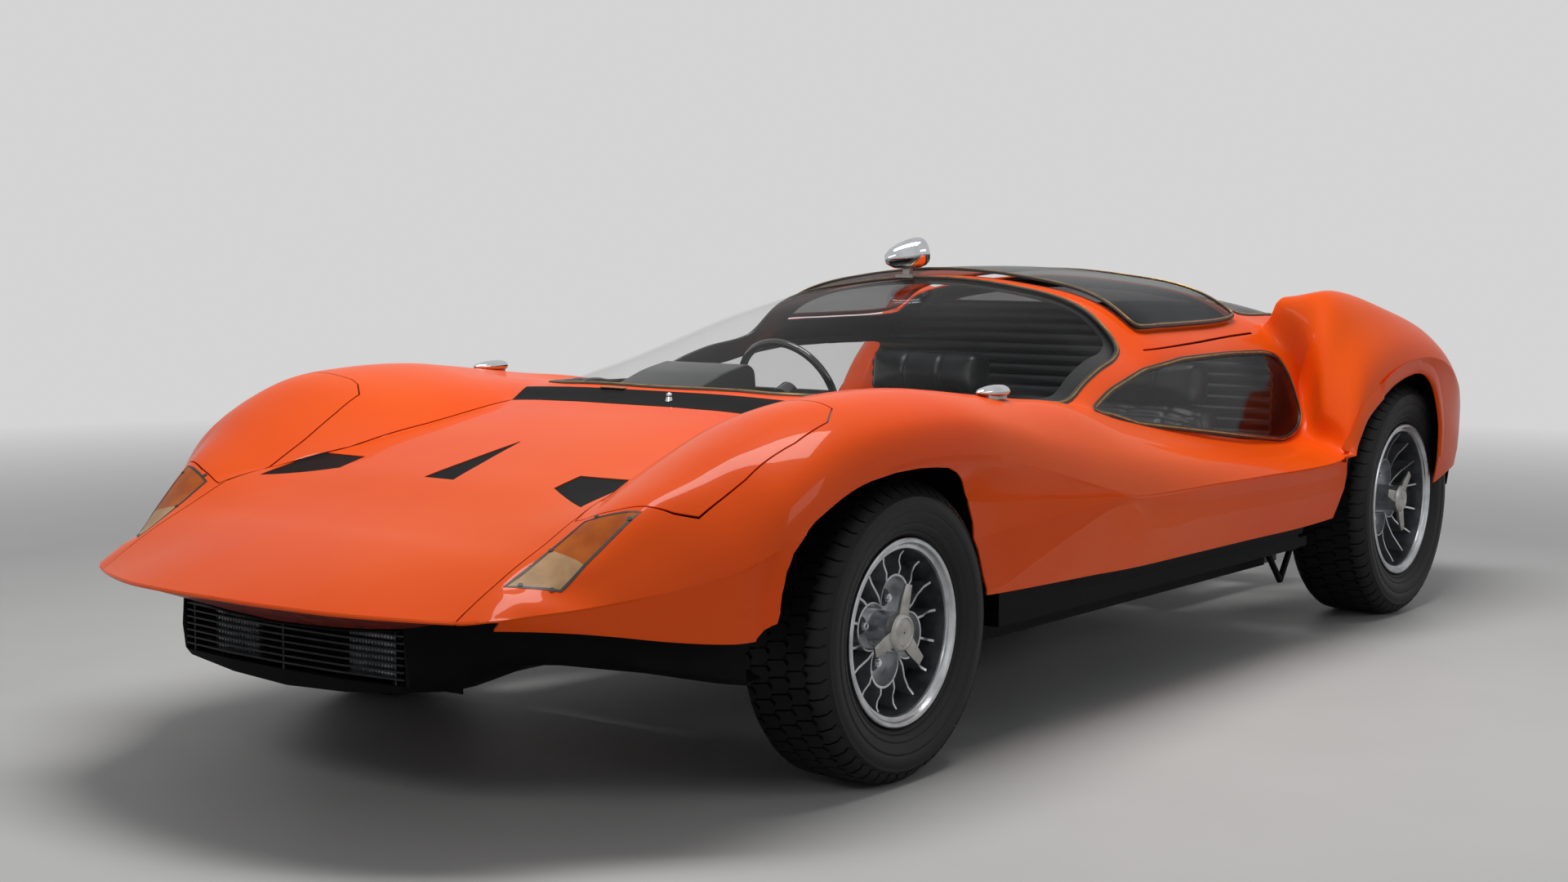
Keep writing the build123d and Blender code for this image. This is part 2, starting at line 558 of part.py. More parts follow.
def rim(width, rim_radius, dish):
    """Cast wheel about the Y axis, its outside towards +Y: barrel, finned disc, lobed hub and eared spinner."""
    half = width / 2
    lip = half - 15
    face = lip - dish
    barrel = [(rim_radius + 1, half - 28), (rim_radius + 1, lip), (rim_radius - 7, lip), (rim_radius - 9, lip - 10),
              (rim_radius - 16, lip - 18), (rim_radius - 20, lip - 40), (rim_radius - 30, face),
              (rim_radius - 32, 28 - half), (rim_radius + 1, 20 - half), (rim_radius + 1, 28 - half),
              (rim_radius - 22, 38 - half), (rim_radius - 22, half - 44)]
    wheel = revolve(Face(Wire.make_polygon([Vector(r, y, 0) for r, y in barrel], close=True)), axis=Axis.Y)
    disc_outer = rim_radius - 31
    hub_front = lip + 2
    disc = rod((0, face - 26, 0), (0, face - 14, 0), disc_outer + 2)
    hub = rod((0, face - 40, 0), (0, hub_front - 18, 0), 36)
    wheel += disc
    wheel += hub
    for i in range(FIN_COUNT):
        fin = Pos(disc_outer * 0.78, face - 8, 0) * Box(disc_outer * 0.5, 26, 3)
        wheel += Rot(0, 360 / FIN_COUNT * i, 0) * fin
    ring = rod((0, face - 20, 0), (0, face + 2, 0), disc_outer * 0.60)
    ring -= rod((0, face - 10, 0), (0, face + 3, 0), disc_outer * 0.60 - 5)
    wheel += ring
    for i in range(STUD_COUNT):
        angle = math.radians(360 / STUD_COUNT * (i + 0.5))
        x, z = 57 * math.cos(angle), 57 * math.sin(angle)
        wheel += rod((x, face - 15, z), (x, face + 4, z), 11)
    spinner = rod((0, hub_front - 22, 0), (0, hub_front - 2, 0), 36)
    ear_plane = Plane(origin=(0, hub_front - 16, 0), x_dir=(1, 0, 0), z_dir=(0, 1, 0))
    for i in range(EAR_COUNT):
        ear = Polyline((24, -17), (88, -9), (92, 9), (24, 17), close=True)
        blade = extrude(ear_plane * make_face(ear), amount=9)
        spinner += Rot(0, 360 / EAR_COUNT * i + 20, 0) * blade
    wheel += spinner
    wheel -= rod((0, -half, 0), (0, face - 18, 0), STUB_RADIUS + STUB_CLEARANCE)
    return wheel


def placed(shape, station, y, z):
    """Wheel piece at its place, turned so that its outside points away from the car."""
    turned = shape if y > 0 else Rot(0, 0, 180) * shape
    return Pos(at(station), y, z) * turned


def knuckle(side):
    """Front upright: a kingpin boss, a stub axle and a steering arm."""
    y = KINGPIN_Y
    stub_end = FRONT_WHEEL_Y + FRONT_TYRE_WIDTH / 2 - 15 - FRONT_DISH - 22
    part = rod((at(0), y, HUB_Z_FRONT - BOSS_HALF), (at(0), y, HUB_Z_FRONT + BOSS_HALF), BOSS_RADIUS)
    part += rod((at(0), y, HUB_Z_FRONT), (at(0), stub_end, HUB_Z_FRONT), STUB_RADIUS)
    part += rod((at(0), y - 8, HUB_Z_FRONT), (at(0), y + 26, HUB_Z_FRONT), 42)
    part += block(-105, -10, y - 8, y + 4, HUB_Z_FRONT - 40, HUB_Z_FRONT - 22)
    return part if side > 0 else mirrored(part)


def front_axle():
    """Front crossmember with two wishbones a side, which end above and below the kingpin bosses, and the rack."""
    low = HUB_Z_FRONT - BOSS_HALF - SEAT_GAP
    high = HUB_Z_FRONT + BOSS_HALF + SEAT_GAP
    beam = block(-60, 60, -330, 330, FLOOR_Z, low)
    for side in (-1, 1):
        y0, y1 = sorted((side * 300, side * 330))
        beam += block(-50, 50, y0, y1, FLOOR_Z, high + WISHBONE_THICKNESS)
        for z, half in ((low - WISHBONE_THICKNESS, 120), (high, 95)):
            arm = plan_area([(at(half), side * 310), (at(16), side * (KINGPIN_Y + 14)),
                             (at(-16), side * (KINGPIN_Y + 14)), (at(-half), side * 310)], z, z + WISHBONE_THICKNESS)
            window = [(at(half - 45), side * 345), (at(0), side * (KINGPIN_Y - 70)), (at(45 - half), side * 345)]
            arm -= plan_area(window, z - 1, z + WISHBONE_THICKNESS + 1)
            beam += arm
    beam += rod((at(-92), -350, HUB_Z_FRONT - 30), (at(-92), 350, HUB_Z_FRONT - 30), 18)
    beam += block(-92, -55, -310, 310, HUB_Z_FRONT - 70, HUB_Z_FRONT - 40)
    return beam


def rear_axle():
    """Rear half shafts, hub carriers, stub axles and trailing arms."""
    parts = None
    station = -WHEELBASE
    carrier = REAR_WHEEL_Y - REAR_TYRE_WIDTH / 2 - 12
    stub_end = REAR_WHEEL_Y + REAR_TYRE_WIDTH / 2 - 15 - REAR_DISH - 22
    for side in (-1, 1):
        arm = rod((at(station), side * 150, HUB_Z_REAR), (at(station), side * carrier, HUB_Z_REAR), 17)
        arm += rod((at(station), side * (carrier - 30), HUB_Z_REAR),
                   (at(station), side * (carrier + 12), HUB_Z_REAR), 48)
        arm += rod((at(station), side * carrier, HUB_Z_REAR),
                   (at(station), side * stub_end, HUB_Z_REAR), STUB_RADIUS)
        y0, y1 = sorted((side * (carrier - 28), side * (carrier - 4)))
        arm += side_prism([(station, 290), (station, 345), (-2020, 240), (-2020, 205)], y0, y1)
        y0, y1 = sorted((side * 225, side * (carrier - 4)))
        arm += block(-2060, -2020, y0, y1, FLOOR_Z, FLOOR_Z + 38)
        parts = arm if parts is None else parts + arm
    return parts


def engine():
    """Engine and gearbox as one plain block, ahead of the rear axle and on the chassis rails."""
    motor = block(-2330, -2070, -270, 270, FLOOR_Z + 45, 650)
    motor += block(-2560, -2330, -149, 149, FLOOR_Z + 20, 430)
    for y in (-RAIL_Y, RAIL_Y):
        motor += block(-2300, -2100, y - 18, y + 18, FLOOR_Z, FLOOR_Z + 60)
    return motor


def exhaust():
    """Silencer across the tail with two pipes."""
    box = block(-2690, -2590, -300, 300, FLOOR_Z, FLOOR_Z + 90)
    for y in (-180, 180):
        box += rod((at(-2680), y, FLOOR_Z + 50), (at(-2900), y, FLOOR_Z + 50), 24)
        box -= rod((at(-2720), y, FLOOR_Z + 50), (at(-2901), y, FLOOR_Z + 50), 20)
    return box


def seat(y):
    """Reclined seat: cushion, backrest and headrest."""
    low = y - SEAT_WIDTH / 2
    high = y + SEAT_WIDTH / 2
    top = FLOOR_Z + FLOOR_THICKNESS
    cushion = side_prism([(-960, top), (-950, top + 120), (-1430, top + 85), (-1560, top)], low, high)
    back = side_prism([(-1400, top), (-1420, top + 110), (-1665, top + 390), (-1790, top + 400), (-1700, top + 200),
                       (-1560, top)], low, high)
    head = side_prism([(-1670, top + 385), (-1690, top + 502), (-1782, top + 505), (-1790, top + 390)],
                      y - HEADREST_WIDTH / 2, y + HEADREST_WIDTH / 2)
    return cushion + back + head


def dashboard(inner, column):
    """Padded dashboard under the windscreen, cut for the steering column."""
    pad = side_prism([(-420, 560), (-420, 636), (-620, 650), (-800, 668), (-845, 640), (-800, 540), (-700, 500)],
                     -700, 700) & inner
    return pad - column


def cabin_rear_wall(inner):
    """Padded wall behind the seats."""
    top = FLOOR_Z + FLOOR_THICKNESS
    wall = side_prism([(CABIN_REAR + 40, top), (CABIN_REAR + 20, top), (CABIN_REAR - 6, 800),
                       (CABIN_REAR + 20, 800)], -CABIN_HALF_WIDTH, CABIN_HALF_WIDTH)
    foot = block(CABIN_REAR, CABIN_REAR + 60, -CABIN_HALF_WIDTH + 20, CABIN_HALF_WIDTH - 20, top, SILL_TOP_Z)
    wall = wall & (inner + foot)
    for y in (-SLOT_Y, SLOT_Y):
        wall -= block(SLOT_REAR - 20, SLOT_FRONT, y - 15, y + 15, RUNNER_TOP - 12, 900)
    return wall - roof_runners(inner)


def column_frame():
    """Plane at the steering wheel's centre, its Z along the column towards the driver."""
    tilt = math.radians(COLUMN_TILT)
    return Plane(origin=(at(STEERING_WHEEL_STATION), STEERING_WHEEL_Y, STEERING_WHEEL_Z), x_dir=(0, 1, 0),
                 z_dir=(-math.cos(tilt), 0, math.sin(tilt)))


def steering_column():
    """Column tube with the shaft that carries the steering wheel."""
    frame = column_frame()
    tube = extrude(frame.offset(-COLUMN_LENGTH) * Circle(22), amount=COLUMN_LENGTH - 45)
    tube += extrude(frame.offset(-60) * Circle(SHAFT_RADIUS), amount=60)
    return tube


def steering_wheel():
    """Thin-rimmed steering wheel with three spokes."""
    frame = column_frame()
    ring = frame * Torus(STEERING_WHEEL_RADIUS, 11)
    hub = extrude(frame.offset(-35) * Circle(30), amount=45)
    hub -= extrude(frame.offset(-36) * Circle(SHAFT_RADIUS + STUB_CLEARANCE), amount=38)
    wheel = ring + hub
    for angle in (0, 180, 270):
        spoke = extrude(frame.offset(-3) * (Rot(0, 0, angle) * (Pos(95, 0) * Rectangle(145, 26))), amount=5)
        wheel += spoke
    return wheel


def roof_pieces(pane):
    """Sliding roof, lifted just clear of the body: a frame with guide blades, and its tinted glass."""
    full = plan_prism(roof_outline(2), 740)
    opening = plan_prism(roof_outline(2 + ROOF_FRAME_WIDTH), 740)
    glass = pane & opening
    frame = (pane & full) - opening
    frame = Pos(0, 0, ROOF_LIFT) * frame
    for y in (-SLOT_Y, SLOT_Y):
        inward = -1 if y > 0 else 1
        for station in (-1420, -1475):
            low, high = sorted((y - inward * 1.5, y + inward * 24))
            blade = block(station - 12, station + 12, y - 1.5, y + 1.5, RUNNER_TOP + SEAT_GAP, FOOT_LOW_Z + 6)
            blade += block(station - 12, station + 12, low, high, FOOT_LOW_Z, FOOT_LOW_Z + 6)
            frame += blade
    return frame, Pos(0, 0, ROOF_LIFT) * glass


def roof_runners(inner):
    """Runners inside the cabin that carry the sliding roof's blades."""
    runner = block(SLOT_REAR, SLOT_FRONT, SLOT_Y - 12, 640, RUNNER_TOP - 12, RUNNER_TOP) & inner
    runner -= block(SLOT_REAR - 1, RUNNER_NARROW, RUNNER_NARROW_Y, 700, RUNNER_TOP - 20, RUNNER_TOP + 1)
    return [runner, mirrored(runner)]


def roof_mirror(outer):
    """Egg-shaped mirror on a short stem at the top of the windscreen hoop."""
    y = MIRROR_Y
    egg = Pos(at(-1238), y, 993) * scale(Sphere(1), by=(60, 50, 38))
    egg -= block(-1400, -1275, y - 100, y + 100, 900, 1100)
    stem = rod((at(-1236), y, 930), (at(-1236), y, 985), 9)
    foot = block(-1258, -1206, y - 17, y + 17, 925, 946)
    return egg + stem + foot - outer


def fender_mirrors(outer):
    """Chrome markers on top of the front fenders."""
    case = block(-420, -322, 684, 722, 690, 738) - outer
    return [case, mirrored(case)]


def hood_pieces(wall, pane):
    """Hood lid with its hidden hinge arms, and the three black wedges let into it."""
    lid = wall & plan_prism(hood_outline(SHUT_GAP, HOOD_REAR_GAP), 380)
    wedges = plan_area([(at(s), y) for s, y in HOOD_WEDGES[0]], 500)
    side_wedge = plan_area([(at(s), y) for s, y in HOOD_WEDGES[1]], 500)
    inserts = [pane & piece for piece in (wedges, side_wedge, mirrored(side_wedge))]
    lid -= inserts
    for arm in hinge_arms(HOOD_HINGE, [(0, 662), (0, 646)], (-HOOD_HINGE_Y, HOOD_HINGE_Y)):
        lid += arm
    return lid, inserts


def engine_lid(wall):
    """Engine lid with louvres and its hinge arms at the front."""
    lid = wall & plan_prism(engine_lid_outline(SHUT_GAP), 450)
    for i in range(LOUVRE_COUNT):
        station = ENGINE_LID_FRONT - 70 - i * LOUVRE_PITCH
        lid -= block(station - 9, station + 9, -LOUVRE_HALF_WIDTH, -30, 400, 900)
        lid -= block(station - 9, station + 9, 30, LOUVRE_HALF_WIDTH, 400, 900)
    reach = [(-2520, 794), (-2530, 758), (-2495, 766), (-2489, 788)]
    for arm in hinge_arms(ENGINE_HINGE, reach, (-ENGINE_HINGE_Y, ENGINE_HINGE_Y)):
        lid += arm
    return lid


def main():
    os.makedirs("parts", exist_ok=True)
    outer = skin(0)
    inner = skin(BODY_WALL)
    wall = outer - inner
    pane = outer - skin(GLASS_THICKNESS)

    shell = body_shell(wall)
    for fork in hinge_forks(ENGINE_HINGE, 775, (-ENGINE_HINGE_Y, ENGINE_HINGE_Y)):
        shell += fork
    save("body_shell", shell)
    fender_panel = wall & plan_area(fender_lid_outline(SEAT_GAP), 500)
    save("fender_panels", [fender_panel, mirrored(fender_panel)])
    screen, rear, quarters = glass_panels(pane)
    save("windscreen", screen)
    save("rear_glass", rear)
    save("quarter_glasses", quarters)
    save("nose_lamps", lamp_panels(wall, NOSE_LAMP, 425))
    save("tail_lamps", lamp_panels(wall, TAIL_LAMP, 500))
    save("tail_panel", wall & tail_opening())
    save("cowl_strip", cowl_strip(wall))
    hood, inserts = hood_pieces(wall, pane)
    save("hood_lid", hood)
    save("hood_inserts", inserts)
    save("engine_lid", engine_lid(wall))
    frame, glass = roof_pieces(pane)
    save("roof_frame", frame)
    save("roof_glass", glass)
    save("roof_runners", roof_runners(inner))

    save("floor_pan", floor_pan())
    save("centre_tunnel", centre_tunnel())
    save("side_sills", side_sills(inner))
    save("wheel_houses", wheel_houses(inner))
    save("chin_valance", valance())
    save("grille_slats", grille())
    save("headlamps", headlamps())
    save("roof_mirror", roof_mirror(outer))
    save("fender_mirrors", fender_mirrors(outer))

    column = steering_column()
    save("steering_column", column)
    save("steering_wheel", steering_wheel())
    save("dashboard", dashboard(inner, column))
    save("cabin_rear_wall", cabin_rear_wall(inner))
    save("seat_left", seat(SEAT_Y))
    save("seat_right", seat(-SEAT_Y))

    save("engine", engine())
    save("exhaust", exhaust())
    save("front_axle", front_axle())
    save("rear_axle", rear_axle())

    front_rim = rim(FRONT_TYRE_WIDTH, FRONT_RIM_RADIUS, FRONT_DISH)
    rear_rim = rim(REAR_TYRE_WIDTH, REAR_RIM_RADIUS, REAR_DISH)
    front_tyre = tyre(FRONT_TYRE_RADIUS, FRONT_TYRE_WIDTH, FRONT_RIM_RADIUS)
    rear_tyre = tyre(REAR_TYRE_RADIUS, REAR_TYRE_WIDTH, REAR_RIM_RADIUS)
    for name, side in (("left", 1), ("right", -1)):
        save("knuckle_" + name, knuckle(side))
        save("front_rim_" + name, placed(front_rim, 0, side * FRONT_WHEEL_Y, HUB_Z_FRONT))
        save("front_tyre_" + name, placed(front_tyre, 0, side * FRONT_WHEEL_Y, HUB_Z_FRONT))
        save("rear_rim_" + name, placed(rear_rim, -WHEELBASE, side * REAR_WHEEL_Y, HUB_Z_REAR))
        save("rear_tyre_" + name, placed(rear_tyre, -WHEELBASE, side * REAR_WHEEL_Y, HUB_Z_REAR))


main()
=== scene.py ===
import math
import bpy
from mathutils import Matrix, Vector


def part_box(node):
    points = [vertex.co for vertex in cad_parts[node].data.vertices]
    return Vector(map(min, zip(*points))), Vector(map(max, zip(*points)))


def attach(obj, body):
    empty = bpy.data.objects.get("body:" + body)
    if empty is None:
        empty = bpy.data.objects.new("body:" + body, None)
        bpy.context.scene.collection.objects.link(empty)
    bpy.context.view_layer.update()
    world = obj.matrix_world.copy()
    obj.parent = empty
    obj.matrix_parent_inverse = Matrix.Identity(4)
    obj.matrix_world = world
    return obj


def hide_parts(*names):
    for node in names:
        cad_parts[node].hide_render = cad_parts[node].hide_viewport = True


bl_info = {
    "name": "Wedge sports car",
    "version": (1, 0, 0),
    "blender": (4, 5, 0),
    "location": "View3D > Sidebar > Wedge Car",
    "description": "Looks of a low wedge sports car, built over its packed frame",
    "category": "Object",
}

import bmesh
import bpy
from mathutils import Matrix, Vector
from mathutils.bvhtree import BVHTree

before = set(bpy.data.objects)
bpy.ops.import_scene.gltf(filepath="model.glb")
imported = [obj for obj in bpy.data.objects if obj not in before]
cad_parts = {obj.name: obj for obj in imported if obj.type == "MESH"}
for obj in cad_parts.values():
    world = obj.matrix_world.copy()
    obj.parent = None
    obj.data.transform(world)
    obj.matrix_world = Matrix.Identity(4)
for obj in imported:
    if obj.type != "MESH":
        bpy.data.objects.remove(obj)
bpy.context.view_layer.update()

# Sizes in the tables are millimetres. Stations are measured along the car from the front axle, forward
MM = 0.001
FRONT_AXLE_X = 1.037
# How near a plane a cut still takes a corner, and how near two corners are made one, in metres
CUT_REACH = 2e-5
WELD = 0.0003
FINE_WELD = 1e-5


def row_at(station, *places):
    """Row of a table of body lines whose points all lie at one station."""
    return [(station, y, z) for y, z in places]


# Body lines from the nose to the tail, each point as (station, y, z) for the left side.
# Upper skin: crease, flank, crest, inner, base, side, rail, arc, top, centre
UPPER_ROWS = [
    [(855, 531, 405), (866, 517, 404), (877, 503, 402), (886, 489, 400), (894, 474, 399), (948, 360, 402),
     (980, 270, 404), (998, 180, 406), (1007, 90, 407), (1010, 0, 408)],
    [(800, 562, 410), (808, 541, 424), (815, 520, 432), (822, 500, 436), (830, 478, 437), (860, 360, 440),
     (876, 270, 447), (888, 180, 451), (892, 90, 452), (893, 0, 453)],
    [(745, 592, 414), (750, 566, 434), (754, 545, 448), (757, 514, 460), (760, 482, 473), (760, 360, 481),
     (760, 270, 486), (760, 180, 489), (760, 90, 491), (760, 0, 491)],
    [(680, 628, 422), (684, 607, 456), (687, 582, 488), (689, 536, 501), (690, 487, 505), (690, 362, 502),
     (690, 272, 503), (690, 181, 504), (690, 90, 505), (690, 0, 505)],
    [(595, 688, 439), (598, 654, 498), (600, 606, 555), (600, 548, 561), (600, 492, 548), (600, 370, 533),
     (600, 278, 530), (600, 185, 529), (600, 92, 529), (600, 0, 529)],
    [(516, 760, 468), (500, 726, 550), (480, 650, 618), (480, 540, 612), (480, 437, 570), (480, 328, 567),
     (480, 246, 568), (480, 164, 569), (480, 82, 569), (480, 0, 569)],
    [(448, 795, 503), (420, 766, 605), (390, 670, 668), (390, 530, 648), (390, 405, 588), (390, 304, 589),
     (390, 228, 591), (390, 152, 592), (390, 76, 592), (390, 0, 592)],
    row_at(250, (810, 588), (784, 672), (682, 722), (520, 694), (372, 616), (279, 622), (209, 624),
           (140, 625), (70, 625), (0, 625)),
    row_at(100, (815, 612), (790, 695), (685, 739), (520, 716), (350, 644), (262, 651), (197, 653),
           (131, 654), (66, 654), (0, 654)),
    row_at(-67, (815, 615), (790, 697), (688, 741), (520, 722), (335, 675), (251, 679), (188, 680),
           (126, 681), (63, 681), (0, 681)),
    [(-200, 812, 603), (-180, 790, 688), (-160, 692, 734), (-160, 540, 718), (-160, 380, 697),
     (-160, 285, 701), (-160, 214, 703), (-160, 142, 704), (-160, 71, 704), (-160, 0, 704)],
    row_at(-320, (808, 586), (786, 664), (699, 716), (570, 706), (405, 700), (320, 722), (240, 738),
           (160, 744), (80, 747), (0, 748)),
    row_at(-450, (806, 560), (786, 634), (699, 702), (610, 694), (500, 690), (420, 722), (330, 744),
           (220, 764), (110, 775), (0, 777)),
    row_at(-645, (804, 514), (780, 602), (686, 686), (640, 674), (600, 664), (530, 712), (440, 756),
           (330, 789), (160, 816), (0, 827)),
    row_at(-830, (803, 479), (776, 572), (670, 656), (655, 658), (640, 662), (618, 668), (520, 758),
           (400, 815), (200, 856), (0, 869)),
    row_at(-1010, (803, 474), (772, 546), (665, 617), (655, 619), (645, 624), (612, 698), (530, 784),
           (430, 843), (210, 886), (0, 899)),
    row_at(-1200, (803, 472), (768, 526), (662, 584), (654, 587), (646, 594), (607, 717), (552, 772),
           (450, 862), (220, 915), (0, 930)),
    row_at(-1320, (803, 470), (765, 515), (661, 566), (654, 569), (648, 577), (604, 736), (549, 801),
           (450, 872), (220, 925), (0, 941)),
    row_at(-1500, (803, 468), (760, 503), (660, 541), (654, 545), (650, 553), (600, 745), (543, 808),
           (448, 878), (220, 929), (0, 945)),
    row_at(-1750, (804, 465), (754, 490), (664, 514), (660, 518), (656, 526), (598, 743), (530, 815),
           (438, 880), (218, 925), (0, 940)),
    [(-1900, 807, 470), (-1915, 762, 490), (-1935, 680, 508), (-1955, 668, 520), (-1975, 662, 535),
     (-1885, 604, 752), (-1872, 530, 820), (-1870, 432, 876), (-1870, 214, 916), (-1870, 0, 930)],
    [(-1930, 812, 478), (-1945, 775, 500), (-1975, 695, 522), (-2010, 668, 570), (-2025, 636, 665),
     (-1945, 594, 772), (-1928, 535, 818), (-1925, 425, 866), (-1920, 210, 905), (-1920, 0, 918)],
    [(-1945, 818, 490), (-1958, 798, 560), (-1965, 735, 600), (-1998, 706, 700), (-2020, 672, 790),
     (-1960, 602, 872), (-1970, 566, 798), (-1970, 425, 858), (-1965, 208, 898), (-1965, 0, 910)],
    [(-2050, 822, 585), (-2065, 806, 690), (-2080, 748, 780), (-2085, 705, 850), (-2085, 660, 886),
     (-2060, 600, 880), (-2060, 564, 792), (-2060, 430, 846), (-2060, 202, 893), (-2060, 0, 904)],
    row_at(-2240, (826, 685), (808, 748), (762, 812), (710, 868), (660, 890), (590, 845), (552, 784),
           (440, 832), (195, 878), (0, 888)),
    row_at(-2420, (826, 715), (806, 757), (770, 800), (722, 838), (674, 846), (580, 800), (530, 772),
           (450, 796), (195, 840), (0, 849)),
    row_at(-2600, (824, 690), (806, 725), (775, 760), (735, 790), (690, 797), (590, 760), (535, 732),
           (450, 748), (195, 787), (0, 795)),
    row_at(-2740, (806, 630), (790, 668), (764, 705), (732, 734), (696, 744), (604, 712), (541, 686),
           (460, 690), (195, 716), (0, 722)),
    row_at(-2880, (764, 568), (757, 600), (742, 636), (722, 662), (694, 674), (612, 650), (546, 630),
           (465, 634), (195, 652), (0, 656)),
    row_at(-3000, (722, 530), (719, 552), (711, 574), (698, 590), (676, 598), (618, 584), (548, 572),
           (468, 574), (195, 584), (0, 588)),
    row_at(-3090, (690, 510), (689, 524), (684, 538), (674, 550), (656, 556), (615, 550), (548, 544),
           (470, 546), (195, 550), (0, 552)),
]
# Skin below the crease: crease, lip, upper fold, lower fold, flank, sill
LOWER_ROWS = [
    [(855, 531, 405), (853, 528, 402), (852, 524, 398), (850, 519, 393), (848, 512, 388), (845, 505, 383)],
    [(745, 592, 414), (743, 589, 411), (742, 586, 402), (741, 583, 393), (740, 578, 383), (738, 572, 372)],
    [(680, 628, 422), (678, 625, 418), (677, 622, 405), (676, 618, 390), (676, 614, 376), (675, 609, 362)],
    [(595, 688, 439), (594, 685, 433), (592, 682, 412), (590, 678, 390), (588, 674, 368), (585, 669, 346)],
    [(516, 760, 468), (512, 755, 460), (508, 748, 430), (504, 741, 398), (498, 735, 366), (492, 728, 336)],
    [(470, 784, 494), (464, 775, 485), (458, 765, 450), (452, 757, 410), (446, 752, 372), (440, 748, 338)],
    [(440, 798, 510), (438, 797, 500), (436, 795, 470), (434, 793, 435), (430, 788, 400), (425, 780, 350)],
    row_at(250, (810, 588), (805, 578), (800, 540), (796, 480), (790, 420), (780, 345)),
    row_at(100, (815, 612), (810, 600), (804, 550), (798, 480), (790, 420), (780, 345)),
    row_at(-67, (815, 615), (810, 600), (800, 550), (790, 480), (780, 420), (765, 345)),
    [(-200, 812, 603), (-200, 806, 590), (-205, 742, 520), (-210, 730, 440), (-215, 738, 370),
     (-220, 740, 325)],
    row_at(-320, (808, 586), (800, 575), (737, 505), (724, 436), (748, 332), (745, 321)),
    row_at(-450, (806, 560), (798, 551), (752, 499), (745, 451), (762, 372), (749, 318)),
    row_at(-600, (805, 526), (798, 519), (771, 489), (769, 463), (781, 424), (751, 315)),
    row_at(-740, (804, 493), (798, 488), (790, 482), (789, 474), (795, 461), (752, 312)),
    row_at(-806, (803, 480), (799, 476), (798, 474), (798, 468), (800, 455), (753, 310)),
    row_at(-900, (803, 476), (797, 472), (794, 466), (794, 440), (792, 400), (754, 308)),
    row_at(-1200, (803, 472), (794, 467), (792, 462), (794, 436), (790, 396), (757, 308)),
    row_at(-1500, (803, 468), (794, 463), (791, 458), (795, 430), (790, 390), (759, 308)),
    row_at(-1750, (804, 465), (795, 459), (792, 454), (797, 428), (791, 388), (763, 308)),
    row_at(-1900, (807, 470), (800, 464), (797, 456), (799, 430), (793, 392), (767, 312)),
    row_at(-1960, (812, 500), (808, 480), (804, 460), (803, 430), (797, 392), (769, 315)),
    row_at(-2050, (822, 585), (818, 570), (812, 530), (808, 470), (803, 400), (775, 320)),
    row_at(-2240, (826, 685), (820, 660), (815, 600), (812, 500), (806, 410), (780, 325)),
    row_at(-2420, (826, 715), (820, 690), (815, 620), (812, 520), (806, 420), (782, 330)),
    row_at(-2600, (824, 690), (820, 660), (816, 600), (812, 510), (804, 420), (790, 350)),
    row_at(-2740, (806, 630), (803, 600), (799, 550), (796, 490), (790, 430), (784, 375)),
    row_at(-2880, (764, 568), (764, 552), (764, 515), (763, 475), (760, 430), (752, 385)),
    row_at(-3000, (722, 530), (721, 518), (717, 495), (712, 465), (704, 430), (692, 392)),
    row_at(-3090, (690, 510), (688, 503), (684, 485), (678, 460), (671, 432), (662, 400)),
]

# Openings in plan, as (station, y) for the left half
STRIP_EDGE = [(-62, 0), (-62, 330), (-158, 376), (-158, 0)]
MIDDLE_WEDGE = [(478, -40), (478, 40), (255, 2), (255, -2)]
SIDE_WEDGE = [(552, 430), (468, 288), (398, 290), (392, 430)]
HOOD_EDGE = [(-62, 333), (157, 361), (347, 393), (491, 440), (600, 468), (690, 470), (797, 470), (1100, 462)]
WINDSCREEN_EDGE = [(-178, 0), (-190, 300), (-230, 378), (-300, 400), (-450, 492), (-645, 598), (-830, 616),
                   (-935, 598), (-1120, 572), (-1200, 545), (-1200, 470), (-1206, 354), (-1222, 200),
                   (-1226, 0)]
ROOF_EDGE = [(-1281, 0), (-1281, 360), (-1278, 470), (-1286, 544), (-1345, 552), (-1525, 549), (-1815, 538),
             (-1856, 530), (-1859, 499), (-1840, 436), (-1840, 0)]
REAR_GLASS_EDGE = [(-1950, 0), (-1950, 440), (-1975, 470), (-2240, 455), (-2420, 430), (-2420, 0)]
ENGINE_LID_EDGE = [(-2480, 0), (-2480, 505), (-2960, 505), (-2960, 0)]
FENDER_LID_EDGE = [(616, 476), (600, 546), (576, 612), (558, 647), (533, 682), (448, 716), (342, 740),
                   (251, 745), (205, 722), (192, 640), (184, 567), (192, 540), (223, 501), (306, 480),
                   (409, 460), (527, 448)]
NOSE_LAMP = [(801, 487), (745, 561), (592, 602), (624, 504)]
TAIL_LAMP = [(-2700, 612), (-2700, 680), (-3030, 668), (-3030, 608)]

# Openings from the side, as (station, z)
QUARTER_WINDOW = [(-890, 647), (-1025, 687), (-1214, 724), (-1410, 742), (-1661, 745), (-1862, 742),
                  (-1925, 731), (-1959, 693), (-1984, 635), (-2003, 577), (-1971, 544), (-1918, 523),
                  (-1785, 515), (-1628, 526), (-1403, 552), (-1240, 579), (-1107, 608), (-983, 636)]
SIDE_SLOT = [(-1267, 766), (-1267, 770), (-1553, 780), (-1875, 793), (-1875, 788), (-1553, 775)]
FRONT_ARCH = [(458, 200), (452, 340), (434, 368), (437, 422), (434, 460), (423, 492), (390, 527), (352, 553),
              (300, 575), (255, 588), (210, 597), (134, 606), (54, 608), (-3, 605), (-49, 600), (-85, 587),
              (-146, 556), (-231, 516), (-266, 469), (-288, 413), (-291, 358), (-300, 310), (-310, 200)]
